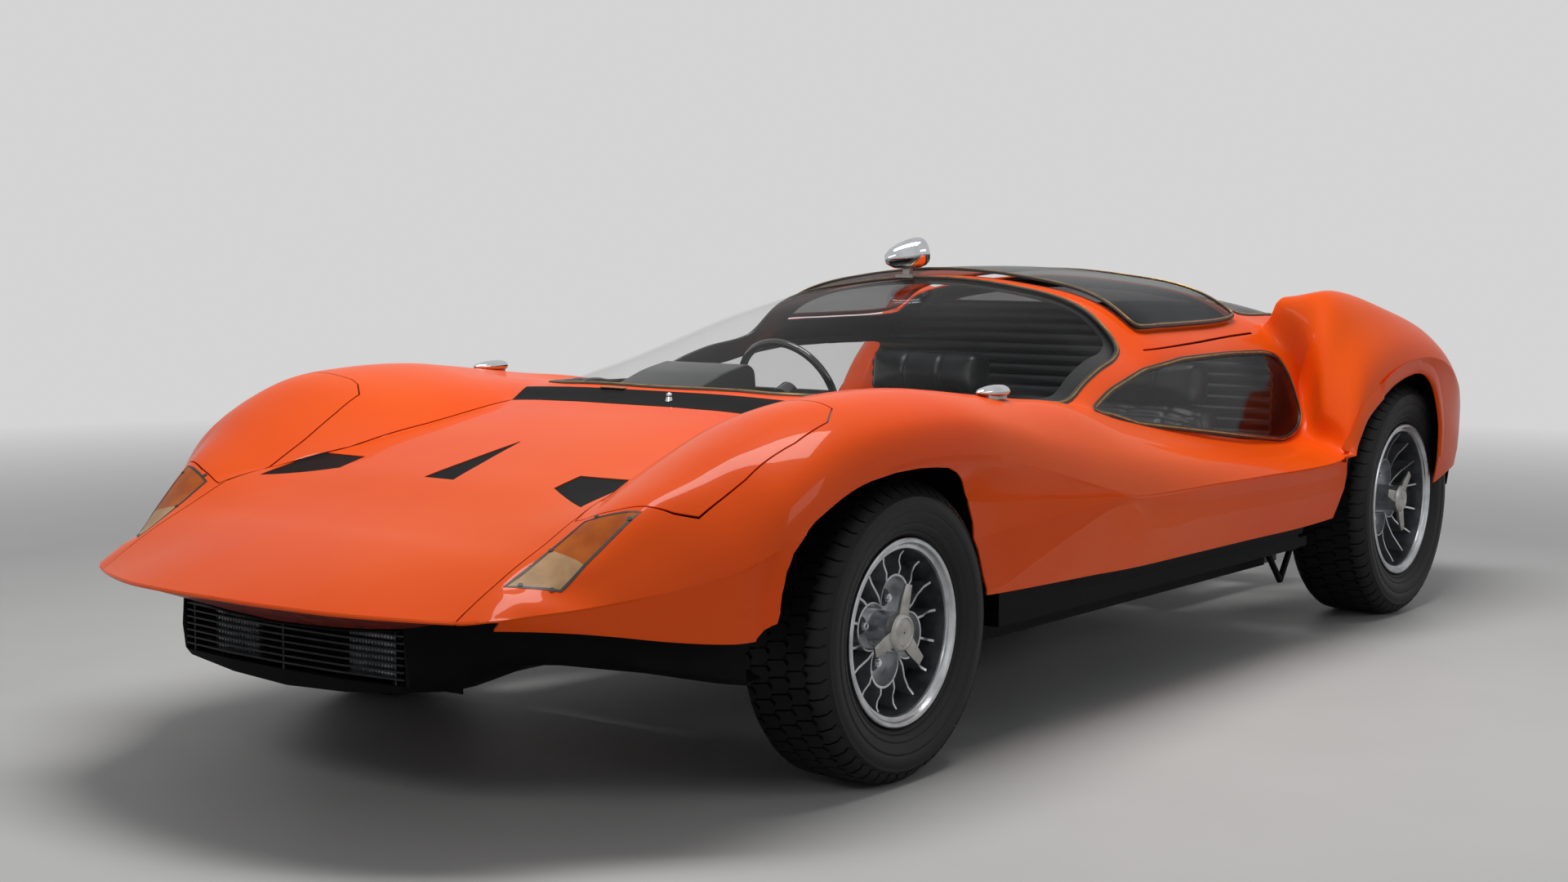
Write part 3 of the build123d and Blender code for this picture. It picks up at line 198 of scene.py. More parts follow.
REAR_ARCH = [(-1956, 200), (-1956, 483), (-1985, 522), (-2026, 565), (-2111, 607), (-2198, 644), (-2304, 665),
             (-2377, 673), (-2444, 668), (-2511, 635), (-2560, 570), (-2591, 502), (-2613, 390), (-2620, 200)]

# Tail from the side, as (station, z): its end face leans in towards the ground
TAIL_TOP = (-3084, 552)
TAIL_FOOT = (-2990, 400)


def at(station, y, z):
    """Place of a point given by its station, y and z in millimetres."""
    return Vector((FRONT_AXLE_X + station * MM, y * MM, z * MM))


def slopes(ts, points):
    """Slopes of a smooth curve through points that doesn't overshoot beside a sharp turn."""
    steps = [(b - a) / max(u - t, 1e-6) for a, b, t, u in zip(points, points[1:], ts, ts[1:])]
    if len(points) == 2:
        return [steps[0], steps[0]]
    for _ in range(2):
        steps = [2 * steps[0] - steps[1]] + steps + [2 * steps[-1] - steps[-2]]
    result = []
    for a, b, c, d in zip(steps, steps[1:], steps[2:], steps[3:]):
        after = (d - c).length + (d + c).length / 2
        before = (b - a).length + (b + a).length / 2
        result.append((b + c) / 2 if after + before < 1e-9 else (b * after + c * before) / (after + before))
    return result


def curve_through(points, counts):
    """Smooth curve through points; counts holds how many steps each gap between them is cut into."""
    ts = [0.0]
    for a, b in zip(points, points[1:]):
        ts.append(ts[-1] + max((b - a).length, 1e-5))
    tangents = slopes(ts, points)
    result = []
    for i, count in enumerate(counts):
        span = ts[i + 1] - ts[i]
        for k in range(count):
            t = k / count
            t2, t3 = t * t, t * t * t
            result.append(points[i] * (2 * t3 - 3 * t2 + 1) + tangents[i] * (span * (t3 - 2 * t2 + t))
                          + points[i + 1] * (3 * t2 - 2 * t3) + tangents[i + 1] * (span * (t3 - t2)))
    result.append(points[-1])
    return result


def steps_along(rows, size):
    """How many steps each gap between rows gets, so that a face is about as long as size."""
    counts = []
    for a, b in zip(rows, rows[1:]):
        longest = max((at(*p) - at(*q)).length for p, q in zip(a, b))
        counts.append(max(2, round(longest / (size * MM))))
    return counts


def drawn_lines(rows, counts):
    """Rows of points after each of the table's lines is drawn out smoothly along the car."""
    lines = [curve_through([at(*row[k]) for row in rows], counts) for k in range(len(rows[0]))]
    return [[line[i] for line in lines] for i in range(len(lines[0]))]


def grid_mesh(table, columns_at):
    """Grid placed by a table of rows; the layer line tells which of the table's lines a vertex is near."""
    bm = bmesh.new()
    columns = len(table[0])
    layer = bm.verts.layers.float.new("line")
    bmesh.ops.create_grid(bm, x_segments=columns - 1, y_segments=len(table) - 1, size=1)
    bm.verts.ensure_lookup_table()
    for i, row in enumerate(table):
        for k, place in enumerate(row):
            vert = bm.verts[i * columns + k]
            vert.co = place
            vert[layer] = columns_at[k]
    return bm


UPPER_ACROSS = [8, 8, 7, 7, 6, 6, 7, 8, 5]
LOWER_ACROSS = [2, 4, 5, 5, 6]
FACE_LENGTH = 16
BASE_LINE = 4
CENTRE_LINE = 9
SOFT_FROM_ROW = 20
SOFT_UNTIL_ROW = 22


def line_numbers(counts):
    """Number of the line that each drawn column lies on, with parts of one between two lines."""
    numbers = []
    for line, count in enumerate(counts):
        numbers += [line + k / count for k in range(count)]
    return numbers + [len(counts)]


def outward(bm, direction):
    """Turn a skin's faces so that most of them look in a direction."""
    bmesh.ops.recalc_face_normals(bm, faces=bm.faces)
    total = sum((f.normal * f.calc_area() for f in bm.faces), Vector())
    if total.dot(Vector(direction)) < 0:
        bmesh.ops.reverse_faces(bm, faces=bm.faces)
    return bm


def drawn_upper_skin():
    """Body's skin above the crease, from the left side over the middle to the right side."""
    counts = steps_along(UPPER_ROWS, FACE_LENGTH)
    soft_from = sum(counts[:SOFT_FROM_ROW])
    soft_until = sum(counts[:SOFT_UNTIL_ROW])
    table = []
    for i, row in enumerate(drawn_lines(UPPER_ROWS, counts)):
        beyond = [Vector((p.x, -p.y, p.z)) for p in reversed(row[CENTRE_LINE - 2:CENTRE_LINE])]
        smooth = curve_through(row + beyond, UPPER_ACROSS + [1, 1])[:-2]
        fender = curve_through(row[:BASE_LINE + 1], UPPER_ACROSS[:BASE_LINE])
        cabin = curve_through(row[BASE_LINE:] + beyond, UPPER_ACROSS[BASE_LINE:] + [1, 1])[:-2]
        blend = min(max((i - soft_from) / (soft_until - soft_from), 0), 1)
        half = [a.lerp(b, blend) for a, b in zip(fender[:-1] + cabin, smooth)]
        table.append(half + [Vector((p.x, -p.y, p.z)) for p in reversed(half[:-1])])
    numbers = line_numbers(UPPER_ACROSS)
    numbers += [2 * CENTRE_LINE - n for n in reversed(numbers[:-1])]
    return grid_mesh(table, numbers)


def upper_skin():
    """Fresh copy of the body's upper skin, faces up; it is drawn once and kept."""
    mesh = bpy.data.meshes.get("upper_skin_draft")
    if mesh is None:
        mesh = bpy.data.meshes.new("upper_skin_draft")
        drawn = outward(drawn_upper_skin(), (0, 0, 1))
        drawn.to_mesh(mesh)
        drawn.free()
    bm = bmesh.new()
    bm.from_mesh(mesh)
    return bm


def lower_skin():
    """Left side's skin below the crease, with its folds left sharp."""
    crease = [row[0] for row in drawn_lines(UPPER_ROWS, steps_along(UPPER_ROWS, FACE_LENGTH))]
    drawn = drawn_lines(LOWER_ROWS, steps_along(LOWER_ROWS, FACE_LENGTH / 2))
    table = []
    k = 0
    for corner in crease:
        while k < len(drawn) - 2 and drawn[k + 1][0].x > corner.x:
            k += 1
        ahead, behind = drawn[k], drawn[k + 1]
        t = min(max((ahead[0].x - corner.x) / (ahead[0].x - behind[0].x), 0), 1)
        row = [corner] + [a.lerp(b, t) for a, b in zip(ahead[1:], behind[1:])]
        points = []
        for a, b, count in zip(row, row[1:], LOWER_ACROSS):
            points += [a.lerp(b, k / count) for k in range(count)]
        table.append(points + [row[-1]])
    return grid_mesh(table, line_numbers(LOWER_ACROSS))


# A shifted corner moves at most 1 / SHARPEST_CORNER gaps; a rounded one takes up to CORNER_SHARE of a side
SHARPEST_CORNER = 0.35
CORNER_SHARE = 0.45


def mirrored_outline(half):
    """Whole outline in plan from its left half."""
    return half + [(s, -y) for s, y in reversed(half) if abs(y) > 1e-6]


def right_side(outline):
    """Same outline in plan on the car's right side."""
    return [(s, -y) for s, y in reversed(outline)]


def shifted_outline(outline, gap):
    """Outline grown outwards by gap, or shrunk if gap is negative."""
    count = len(outline)
    area = sum(a[0] * b[1] - b[0] * a[1] for a, b in zip(outline, outline[1:] + outline[:1]))
    turn = 1 if area > 0 else -1
    result = []
    for i in range(count):
        before, here, after = Vector(outline[i - 1]), Vector(outline[i]), Vector(outline[(i + 1) % count])
        one, two = (here - before).normalized(), (after - here).normalized()
        normal_one, normal_two = Vector((one.y, -one.x)) * turn, Vector((two.y, -two.x)) * turn
        middle = (normal_one + normal_two).normalized()
        reach = gap / max(middle.dot(normal_one), SHARPEST_CORNER)
        result.append((here.x + middle.x * reach, here.y + middle.y * reach))
    return result


def rounded_outline(outline, radius, steps=4):
    """Outline with its corners rounded."""
    count = len(outline)
    result = []
    for i in range(count):
        before, here, after = Vector(outline[i - 1]), Vector(outline[i]), Vector(outline[(i + 1) % count])
        reach = min(radius, (before - here).length * CORNER_SHARE, (after - here).length * CORNER_SHARE)
        start = here + (before - here).normalized() * reach
        end = here + (after - here).normalized() * reach
        for k in range(steps + 1):
            t = k / steps
            point = start * (1 - t) ** 2 + here * (2 * t * (1 - t)) + end * t * t
            result.append((point.x, point.y))
    return result


# Whole outlines of the panes, with the radius of their corners
WINDSCREEN = rounded_outline(mirrored_outline(WINDSCREEN_EDGE), 60)
ROOF = rounded_outline(mirrored_outline(ROOF_EDGE), 30)
REAR_GLASS = rounded_outline(mirrored_outline(REAR_GLASS_EDGE), 60)
WINDOW = rounded_outline(QUARTER_WINDOW, 25)


def inside(outline, u, v):
    """Whether a point lies in an outline."""
    found = False
    for (a, b), (c, d) in zip(outline, outline[1:] + outline[:1]):
        if (b > v) != (d > v) and u < (c - a) * (v - b) / (d - b) + a:
            found = not found
    return found


def trim(bm, outline, keep_inside, axis=1, lines=None):
    """Cut a skin along an outline seen from above (axis 1) or from the side (axis 2), then drop one part.

    lines limits the cut to faces between two of the table's lines."""
    edge = [(FRONT_AXLE_X + s * MM, w * MM) for s, w in outline]
    layer = bm.verts.layers.float.get("line")
    margin = 0.004

    def wanted(face):
        return lines is None or lines[0] < sum(v[layer] for v in face.verts) / len(face.verts) < lines[1]

    def box_of(face):
        us = [v.co.x for v in face.verts]
        ws = [v.co[axis] for v in face.verts]
        return min(us) - margin, max(us) + margin, min(ws) - margin, max(ws) + margin

    def meets(box, low_u, high_u, low_w, high_w):
        return box[1] > low_u and box[0] < high_u and box[3] > low_w and box[2] < high_w

    us, ws = [u for u, w in edge], [w for u, w in edge]
    whole = (min(us), max(us), min(ws), max(ws))
    zone = {}
    beyond = []
    for face in bm.faces:
        box = box_of(face)
        if meets(box, *whole) and wanted(face):
            zone[face] = box
        elif keep_inside:
            beyond.append(face)
    bmesh.ops.delete(bm, geom=beyond, context="FACES")
    for start, end in zip(edge, edge[1:] + edge[:1]):
        if math.dist(start, end) < 1e-6:
            continue
        span = (min(start[0], end[0]), max(start[0], end[0]), min(start[1], end[1]), max(start[1], end[1]))
        close = [face for face, box in zone.items() if meets(box, *span)]
        if not close:
            continue
        normal = Vector((end[1] - start[1], 0, 0))
        normal[axis] = start[0] - end[0]
        point = Vector((start[0], 0, 0))
        point[axis] = start[1]
        parts = set(close)
        for face in close:
            parts.update(face.edges)
            parts.update(face.verts)
        cut = bmesh.ops.bisect_plane(bm, geom=list(parts), dist=CUT_REACH, plane_co=point,
                                     plane_no=normal.normalized())
        touched = set(face for item in cut["geom_cut"] if isinstance(item, bmesh.types.BMEdge)
                      for face in item.link_faces)
        for face in close:
            if not face.is_valid:
                del zone[face]
        zone.update((face, box_of(face)) for face in touched)
    dropped = []
    for face in zone:
        centre = face.calc_center_median()
        if inside(edge, centre.x, centre[axis]) != keep_inside:
            dropped.append(face)
    bmesh.ops.delete(bm, geom=dropped, context="FACES")
    return bm


def finished(bm, name, materials, body, sharp_angle=28):
    """Object from a bmesh, smooth except at its sharp edges, riding on a body."""
    for face in bm.faces:
        face.smooth = True
    limit = math.radians(sharp_angle)
    for edge in bm.edges:
        if len(edge.link_faces) == 1 or len(edge.link_faces) == 2 and edge.calc_face_angle(0) > limit:
            edge.smooth = False
    mesh = bpy.data.meshes.new(name)
    bm.to_mesh(mesh)
    bm.free()
    piece = bpy.data.objects.new(name, mesh)
    bpy.context.scene.collection.objects.link(piece)
    for material in materials:
        mesh.materials.append(material)
    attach(piece, body)
    return piece


def linear(code):
    """Linear colour of an sRGB hex code."""
    channels = [int(code[i:i + 2], 16) / 255 for i in (1, 3, 5)]
    return tuple(c / 12.92 if c <= 0.04045 else ((c + 0.055) / 1.055) ** 2.4 for c in channels) + (1.0,)


def add_node(tree, kind, settings=None, links=None):
    """Add a shader node; settings are its properties or input values, links name the outputs that feed it."""
    node = tree.nodes.new(kind)
    for key, value in (settings or {}).items():
        if isinstance(key, str) and hasattr(node, key):
            setattr(node, key, value)
        else:
            node.inputs[key].default_value = value
    for key, (source, output) in (links or {}).items():
        tree.links.new(source.outputs[output], node.inputs[key])
    return node


def new_material(name, settings):
    """Material with one principled shader; gives it with its tree, shader and object coordinates."""
    material = bpy.data.materials.new(name)
    material.use_nodes = True
    tree = material.node_tree
    tree.nodes.clear()
    shader = add_node(tree, "ShaderNodeBsdfPrincipled", settings)
    add_node(tree, "ShaderNodeOutputMaterial", None, {"Surface": (shader, "BSDF")})
    place = add_node(tree, "ShaderNodeTexCoord")
    return material, tree, shader, place


def show_shader(tree, node):
    """Feed the material's output from a mixed shader."""
    output = next(n for n in tree.nodes if n.bl_idname == "ShaderNodeOutputMaterial")
    tree.links.new(node.outputs["Shader"], output.inputs["Surface"])


def varied(name, low, high, size, settings, bump_size=0, bump=0, rough=None, detail=3):
    """Material whose colour drifts between two tones over patches of a size in mm, with a grain of bumps."""
    material, tree, shader, place = new_material(name, settings)
    source = (place, "Object")
    noise = add_node(tree, "ShaderNodeTexNoise", {"Scale": 1 / (size * MM), "Detail": detail},
                     {"Vector": source})
    ramp = add_node(tree, "ShaderNodeValToRGB", None, {"Fac": (noise, "Fac")})
    ramp.color_ramp.elements[0].position = 0.35
    ramp.color_ramp.elements[1].position = 0.65
    ramp.color_ramp.elements[0].color = linear(low)
    ramp.color_ramp.elements[1].color = linear(high)
    tree.links.new(ramp.outputs["Color"], shader.inputs["Base Color"])
    if rough:
        spread = add_node(tree, "ShaderNodeMapRange", {"To Min": rough[0], "To Max": rough[1]},
                          {"Value": (noise, "Fac")})
        tree.links.new(spread.outputs["Result"], shader.inputs["Roughness"])
    if bump:
        grain = add_node(tree, "ShaderNodeTexNoise", {"Scale": 1 / (bump_size * MM), "Detail": 4},
                         {"Vector": source})
        bumps = add_node(tree, "ShaderNodeBump", {"Strength": bump, "Distance": bump_size * MM * 0.3},
                         {"Height": (grain, "Fac")})
        tree.links.new(bumps.outputs["Normal"], shader.inputs["Normal"])
    return material


def glass_material(name, tint, density, gloss_share):
    """Thin pane: density is the share of light it holds back, gloss_share its gloss at flat angles."""
    material, tree, shader, place = new_material(name, {"Roughness": 0.1, "Base Color": linear(tint),
                                                        "Specular IOR Level": 0.0})
    noise = add_node(tree, "ShaderNodeTexNoise", {"Scale": 6, "Detail": 2}, {"Vector": (place, "Object")})
    haze = add_node(tree, "ShaderNodeMapRange", {"To Min": density * 0.92, "To Max": density * 1.08},
                    {"Value": (noise, "Fac")})
    rays = add_node(tree, "ShaderNodeLightPath")
    to_light = add_node(tree, "ShaderNodeMath", {"operation": "MAXIMUM"},
                        {0: (rays, "Is Shadow Ray"), 1: (rays, "Is Diffuse Ray")})
    seen = add_node(tree, "ShaderNodeMath", {"operation": "SUBTRACT", 0: 1.0}, {1: (to_light, "Value")})
    held = add_node(tree, "ShaderNodeMath", {"operation": "MULTIPLY"},
                    {0: (haze, "Result"), 1: (seen, "Value")})
    tree.links.new(held.outputs["Value"], shader.inputs["Alpha"])
    gloss = add_node(tree, "ShaderNodeBsdfGlossy", {"Roughness": 0.03})
    facing = add_node(tree, "ShaderNodeLayerWeight", {"Blend": 0.5})
    steep = add_node(tree, "ShaderNodeMath", {"operation": "POWER", 1: 5.0}, {0: (facing, "Facing")})
    amount = add_node(tree, "ShaderNodeMapRange", {"To Min": gloss_share * 0.04, "To Max": gloss_share},
                      {"Value": (steep, "Value")})
    shown = add_node(tree, "ShaderNodeMath", {"operation": "MULTIPLY"},
                     {0: (amount, "Result"), 1: (seen, "Value")})
    mixed = add_node(tree, "ShaderNodeMixShader", None,
                     {"Fac": (shown, "Value"), 1: (shader, "BSDF"), 2: (gloss, "BSDF")})
    show_shader(tree, mixed)
    return material


# Finishes of parts, as (key, name, darker tone, lighter tone, size of the patches in mm, shader values,
# size and strength of the bumps, range of roughness, detail of the patches)
FINISH_TABLE = [
    # Two-pack paint over glass fibre, sprayed and polished: deep, glossy, slightly wavy
    ("paint", "orange_polished_paint", "#f2500a", "#f75c10", 700,
     {"Roughness": 0.4, "Specular IOR Level": 0.05, "Coat Weight": 0.24, "Coat Roughness": 0.04},
     9, 0.02, (0.36, 0.46)),
    # Same paint darkened to dark red under the nose: painted shade on the face that looks down, mottled in
    # small patches
    ("worn_paint", "worn_dark_red_paint", "#3a0f0a", "#a02414", 18,
     {"Roughness": 0.45, "Coat Weight": 0.3, "Coat Roughness": 0.2}, 6, 0.3, (0.35, 0.6), 6),
    # Sprayed matte black on glass fibre: soft grain, no reflections
    ("matte_black", "sprayed_matte_black", "#050506", "#0b0b0c", 60,
     {"Roughness": 0.62, "Specular IOR Level": 0.08}, 3, 0.15, (0.55, 0.7)),
    # Underseal on the wheel house liners: rough, dull black with dust in it
    ("liner", "sprayed_underseal", "#070707", "#121110", 45,
     {"Roughness": 0.85, "Specular IOR Level": 0.12}, 4, 0.5),
    # Black vinyl glued over the inside of the body: a soft sheen
    ("lining", "glued_black_vinyl", "#08090a", "#101214", 70,
     {"Roughness": 0.38, "Specular IOR Level": 0.35}, 4, 0.12, (0.32, 0.46)),
    # Anodised grille bars: dark grey metal that catches the light along its edges
    ("slat", "dark_anodised_bars", "#1d1e21", "#2c2d31", 30,
     {"Roughness": 0.38, "Metallic": 0.8}, 2, 0.05, (0.3, 0.45)),
    # Ribbed glass of the headlamps
    ("lamp_glass", "ribbed_lamp_glass", "#8f9296", "#b4b6ba", 20,
     {"Roughness": 0.1, "Metallic": 0.55}, 3, 0.05, (0.06, 0.16)),
    ("gloss_black", "glossy_black_rim", "#050506", "#0b0b0d", 40,
     {"Roughness": 0.16, "Coat Weight": 0.5}, 6, 0.03, (0.12, 0.22)),
    ("tan", "tan_moulded_plastic", "#8a6a44", "#a07c54", 12,
     {"Roughness": 0.5}, 2, 0.1, (0.42, 0.58)),
    # Black rubber window seal, extruded: dull with a faint sheen
    ("rubber", "extruded_black_rubber", "#0d0d0e", "#191919", 25,
     {"Roughness": 0.5}, 4, 0.1, (0.42, 0.58)),
    # Anodised brass coloured bead pressed into the seal: thin warm metal line
    ("bead", "brass_seal_bead", "#8a6a34", "#b08c4c", 30,
     {"Roughness": 0.28, "Metallic": 1.0}, 5, 0.05, (0.22, 0.36)),
    # Chrome plate on brass: mirror bright
    ("chrome", "chrome_plate", "#c9ccd0", "#dcdee0", 40,
     {"Roughness": 0.08, "Metallic": 1.0}, 12, 0.02, (0.05, 0.12)),
    # Cast alloy wheel, machined and lacquered: bright satin metal
    ("alloy", "machined_cast_alloy", "#b4b6b9", "#d0d2d5", 35,
     {"Roughness": 0.34, "Metallic": 0.85}, 2, 0.05, (0.22, 0.38)),
    # Sand-cast alloy spinner and caps, brushed: soft satin metal
    ("satin", "brushed_cast_alloy", "#9a9894", "#b4b2ad", 25,
     {"Roughness": 0.42, "Metallic": 1.0}, 2, 0.12, (0.34, 0.5)),
    # Darker tone of the cast alloy, used on the barrel and on the disc between the fins deep in the wheel
    ("dark_alloy", "painted_dark_alloy", "#3c3d40", "#54565a", 30,
     {"Roughness": 0.45, "Metallic": 0.6}, 2, 0.1, (0.38, 0.55)),
    # Vulcanised tyre rubber, a little dusty: grey black, almost matte
    ("tyre", "vulcanised_tyre_rubber", "#0a0a0b", "#131314", 40,
     {"Roughness": 0.56, "Specular IOR Level": 0.3}, 2, 0.2, (0.48, 0.66)),
    # Grained black vinyl, sewn over foam: soft sheen
    ("leather", "grained_black_vinyl", "#0b0d0f", "#16181c", 50,
     {"Roughness": 0.3}, 2, 0.12, (0.26, 0.4)),
    # Acrylic lamp lenses
    ("cream_lens", "cream_acrylic_lens", "#b08a62", "#c49c72", 40,
     {"Roughness": 0.45, "Specular IOR Level": 0.15}, 6, 0.05, (0.4, 0.5)),
    ("amber_lens", "amber_acrylic_lens", "#a84c06", "#bc5e0a", 40,
     {"Roughness": 0.4, "Specular IOR Level": 0.15}, 6, 0.05, (0.35, 0.45)),
    ("red_lens", "red_acrylic_lens", "#8a0c0a", "#b81812", 40,
     {"Roughness": 0.16, "Coat Weight": 0.6}, 6, 0.05, (0.1, 0.2)),
    # Hammered and painted steel of chassis and axles
    ("steel", "satin_painted_steel", "#2a2b2d", "#3c3d40", 60,
     {"Roughness": 0.45, "Metallic": 0.5}, 4, 0.15, (0.4, 0.6)),
    ("iron", "cast_engine_iron", "#35322e", "#4a4640", 40,
     {"Roughness": 0.6, "Metallic": 0.5}, 5, 0.35, (0.5, 0.75), 5),
    ("carpet", "black_loop_carpet", "#0c0c0c", "#191817", 8,
     {"Roughness": 0.95}, 3, 0.6),
]
# Panes, as (key, name, tint, density, share of gloss)
PANE_TABLE = [
    ("clear_glass", "clear_float_glass", "#0c1116", 0.02, 0.14),
    ("side_glass", "grey_tinted_glass", "#1d1a24", 0.12, 0.45),
    ("dark_glass", "dark_blue_tinted_glass", "#070e18", 0.5, 0.45),
]


def make_materials():
    """All finishes of the car by key."""
    found = {row[0]: varied(*row[1:]) for row in FINISH_TABLE}
    found.update({row[0]: glass_material(*row[1:]) for row in PANE_TABLE})
    return found


def add_wall(piece, depth):
    """Wall of a skin, on its inner side."""
    wall = piece.modifiers.new("wall", "SOLIDIFY")
    wall.thickness = depth
    wall.offset = -1
    return piece


def join_meshes(bm, other):
    """Add another bmesh to this one."""
    mesh = bpy.data.meshes.new("part")
    other.to_mesh(mesh)
    other.free()
    bm.from_mesh(mesh)
    bpy.data.meshes.remove(mesh)
    return bm


def add_box(bm, place, size, material=0, turn=None):
    """Add a box with its middle at a place; its size is in millimetres."""
    stretch = Matrix.Diagonal([length * MM for length in size] + [1])
    matrix = Matrix.Translation(place) @ (turn or Matrix()) @ stretch
    made = bmesh.ops.create_cube(bm, size=1, matrix=matrix)
    for face in set(f for v in made["verts"] for f in v.link_faces):
        face.material_index = material


def drawn_out(bm, places, move, material=0):
    """Add the solid that a flat outline of places sweeps when it is moved; gives its corners."""
    start = [bm.verts.new(place) for place in places]
    moved = bmesh.ops.extrude_face_region(bm, geom=[bm.faces.new(start)])["geom"]
    end = [g for g in moved if isinstance(g, bmesh.types.BMVert)]
    bmesh.ops.translate(bm, verts=end, vec=move)
    for face in set(f for v in start + end for f in v.link_faces):
        face.material_index = material
    return start + end


def mirrored_copy(bm):
    """Add the same skin on the car's other side."""
    geom = bm.verts[:] + bm.edges[:] + bm.faces[:]
    new = bmesh.ops.duplicate(bm, geom=geom)["geom"]
    verts = [g for g in new if isinstance(g, bmesh.types.BMVert)]
    faces = [g for g in new if isinstance(g, bmesh.types.BMFace)]
    bmesh.ops.scale(bm, vec=(1, -1, 1), verts=verts)
    bmesh.ops.reverse_faces(bm, faces=faces)
    return bm


# Directions an outline is seen from, and the table's lines between which the side windows lie
PLAN = 1
SIDE = 2
WINDOW_LINES = (3.98, 6.6)
# How far the body reaches in under the sliding pane's edge
ROOF_LEDGE = 14
# Gap between a pane and its opening
PANE_GAP = 2


def cut_both_sides(bm, outline):
    """Cut an opening seen from the side out of the cabin's left and right side."""
    across = (2 * CENTRE_LINE - WINDOW_LINES[1], 2 * CENTRE_LINE - WINDOW_LINES[0])
    for lines in (WINDOW_LINES, across):
        trim(bm, outline, False, SIDE, lines)


def cut_tail(bm):
    """Cut a skin off at the tail's leaning end face."""
    high, low = at(TAIL_TOP[0], 0, TAIL_TOP[1]), at(TAIL_FOOT[0], 0, TAIL_FOOT[1])
    normal = Vector((low.z - high.z, 0, high.x - low.x))
    normal = normal if normal.x < 0 else -normal
    bmesh.ops.bisect_plane(bm, geom=bm.verts[:] + bm.edges[:] + bm.faces[:], plane_co=high, plane_no=normal,
                           dist=CUT_REACH, clear_outer=True)
    return bm


def body_pieces(context, finishes):
    """Painted body with all its openings cut."""
    car = context.scene.wedge_car
    gap = car.shut_gap / 2 / MM
    upper = upper_skin()
    hood = mirrored_outline(HOOD_EDGE)
    trim(upper, shifted_outline(hood, gap), False)
    trim(upper, mirrored_outline(STRIP_EDGE), False)
    trim(upper, WINDSCREEN, False)
    trim(upper, shifted_outline(ROOF, -ROOF_LEDGE), False)
    trim(upper, REAR_GLASS, False)
    trim(upper, shifted_outline(mirrored_outline(ENGINE_LID_EDGE), gap), False)
    for outline in (FENDER_LID_EDGE, NOSE_LAMP, TAIL_LAMP):
        trim(upper, shifted_outline(outline, gap), False)
        trim(upper, shifted_outline(right_side(outline), gap), False)
    cut_both_sides(upper, WINDOW)
    cut_both_sides(upper, SIDE_SLOT)
    lower = outward(lower_skin(), (0, 1, 0))
    layer = lower.verts.layers.float.get("line")
    for edge in lower.edges:
        here = [vert[layer] for vert in edge.verts]
        along = abs(here[0] - here[1]) < 0.01 and abs(here[0] - round(here[0])) < 0.01
        if along and len(edge.link_faces) == 2 and edge.calc_face_angle(0) > math.radians(6):
            edge.smooth = False
    trim(lower, FRONT_ARCH, False, SIDE)
    trim(lower, REAR_ARCH, False, SIDE)
    join_meshes(upper, mirrored_copy(lower))
    cut_tail(upper)
    bmesh.ops.remove_doubles(upper, verts=upper.verts, dist=WELD)
    body = finished(upper, "body_skin", [finishes["paint"]], "car")
    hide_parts("body_shell", "fender_panels")
    add_wall(body, car.panel_wall)

    for name, outline in (("fender_lid_left", FENDER_LID_EDGE),
                          ("fender_lid_right", right_side(FENDER_LID_EDGE))):
        lid = trim(upper_skin(), shifted_outline(outline, -gap), True)
        add_wall(finished(lid, name, [finishes["paint"]], "car"), car.panel_wall)


def hood_pieces(context, finishes):
    """Hood lid with its three black wedges let in."""
    car = context.scene.wedge_car
    gap = car.shut_gap / 2 / MM
    lid = upper_skin()
    trim(lid, shifted_outline(mirrored_outline(HOOD_EDGE), -gap), True)
    wedges = [MIDDLE_WEDGE, SIDE_WEDGE, right_side(SIDE_WEDGE)]
    insert = None
    for outline in wedges:
        trim(lid, outline, False)
        part = trim(upper_skin(), shifted_outline(outline, -0.5), True)
        bmesh.ops.translate(part, verts=part.verts, vec=(0, 0, -0.0015))
        insert = part if insert is None else join_meshes(insert, part)
    hood = finished(lid, "hood_skin", [finishes["paint"]], "hood")
    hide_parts("hood_lid")
    add_wall(hood, car.panel_wall)
    black = finished(insert, "hood_wedges", [finishes["matte_black"]], "hood")
    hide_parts("hood_inserts")
    add_wall(black, THIN_WALL)


# Louvres in the engine cover: how many each side, their pitch, the first behind the cover's front edge,
# half a slot's length, and the y between which a slot lies
LOUVRE_COUNT = 7
LOUVRE_PITCH = 48
LOUVRE_START = 70
LOUVRE_HALF = 9
LOUVRE_SPAN = (30, 400)


def engine_cover_pieces(context, finishes):
    """Engine cover with louvres."""
    car = context.scene.wedge_car
    gap = car.shut_gap / 2 / MM
    lid = trim(upper_skin(), shifted_outline(mirrored_outline(ENGINE_LID_EDGE), -gap), True)
    inner, outer = LOUVRE_SPAN
    for i in range(LOUVRE_COUNT):
        station = ENGINE_LID_EDGE[0][0] - LOUVRE_START - i * LOUVRE_PITCH
        fore, aft = station + LOUVRE_HALF, station - LOUVRE_HALF
        for y0, y1 in ((inner, outer), (-outer, -inner)):
            trim(lid, [(aft, y0), (aft, y1), (fore, y1), (fore, y0)], False)
    cover = finished(lid, "engine_cover_skin", [finishes["paint"]], "engine_cover")
    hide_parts("engine_lid")
    add_wall(cover, car.panel_wall)


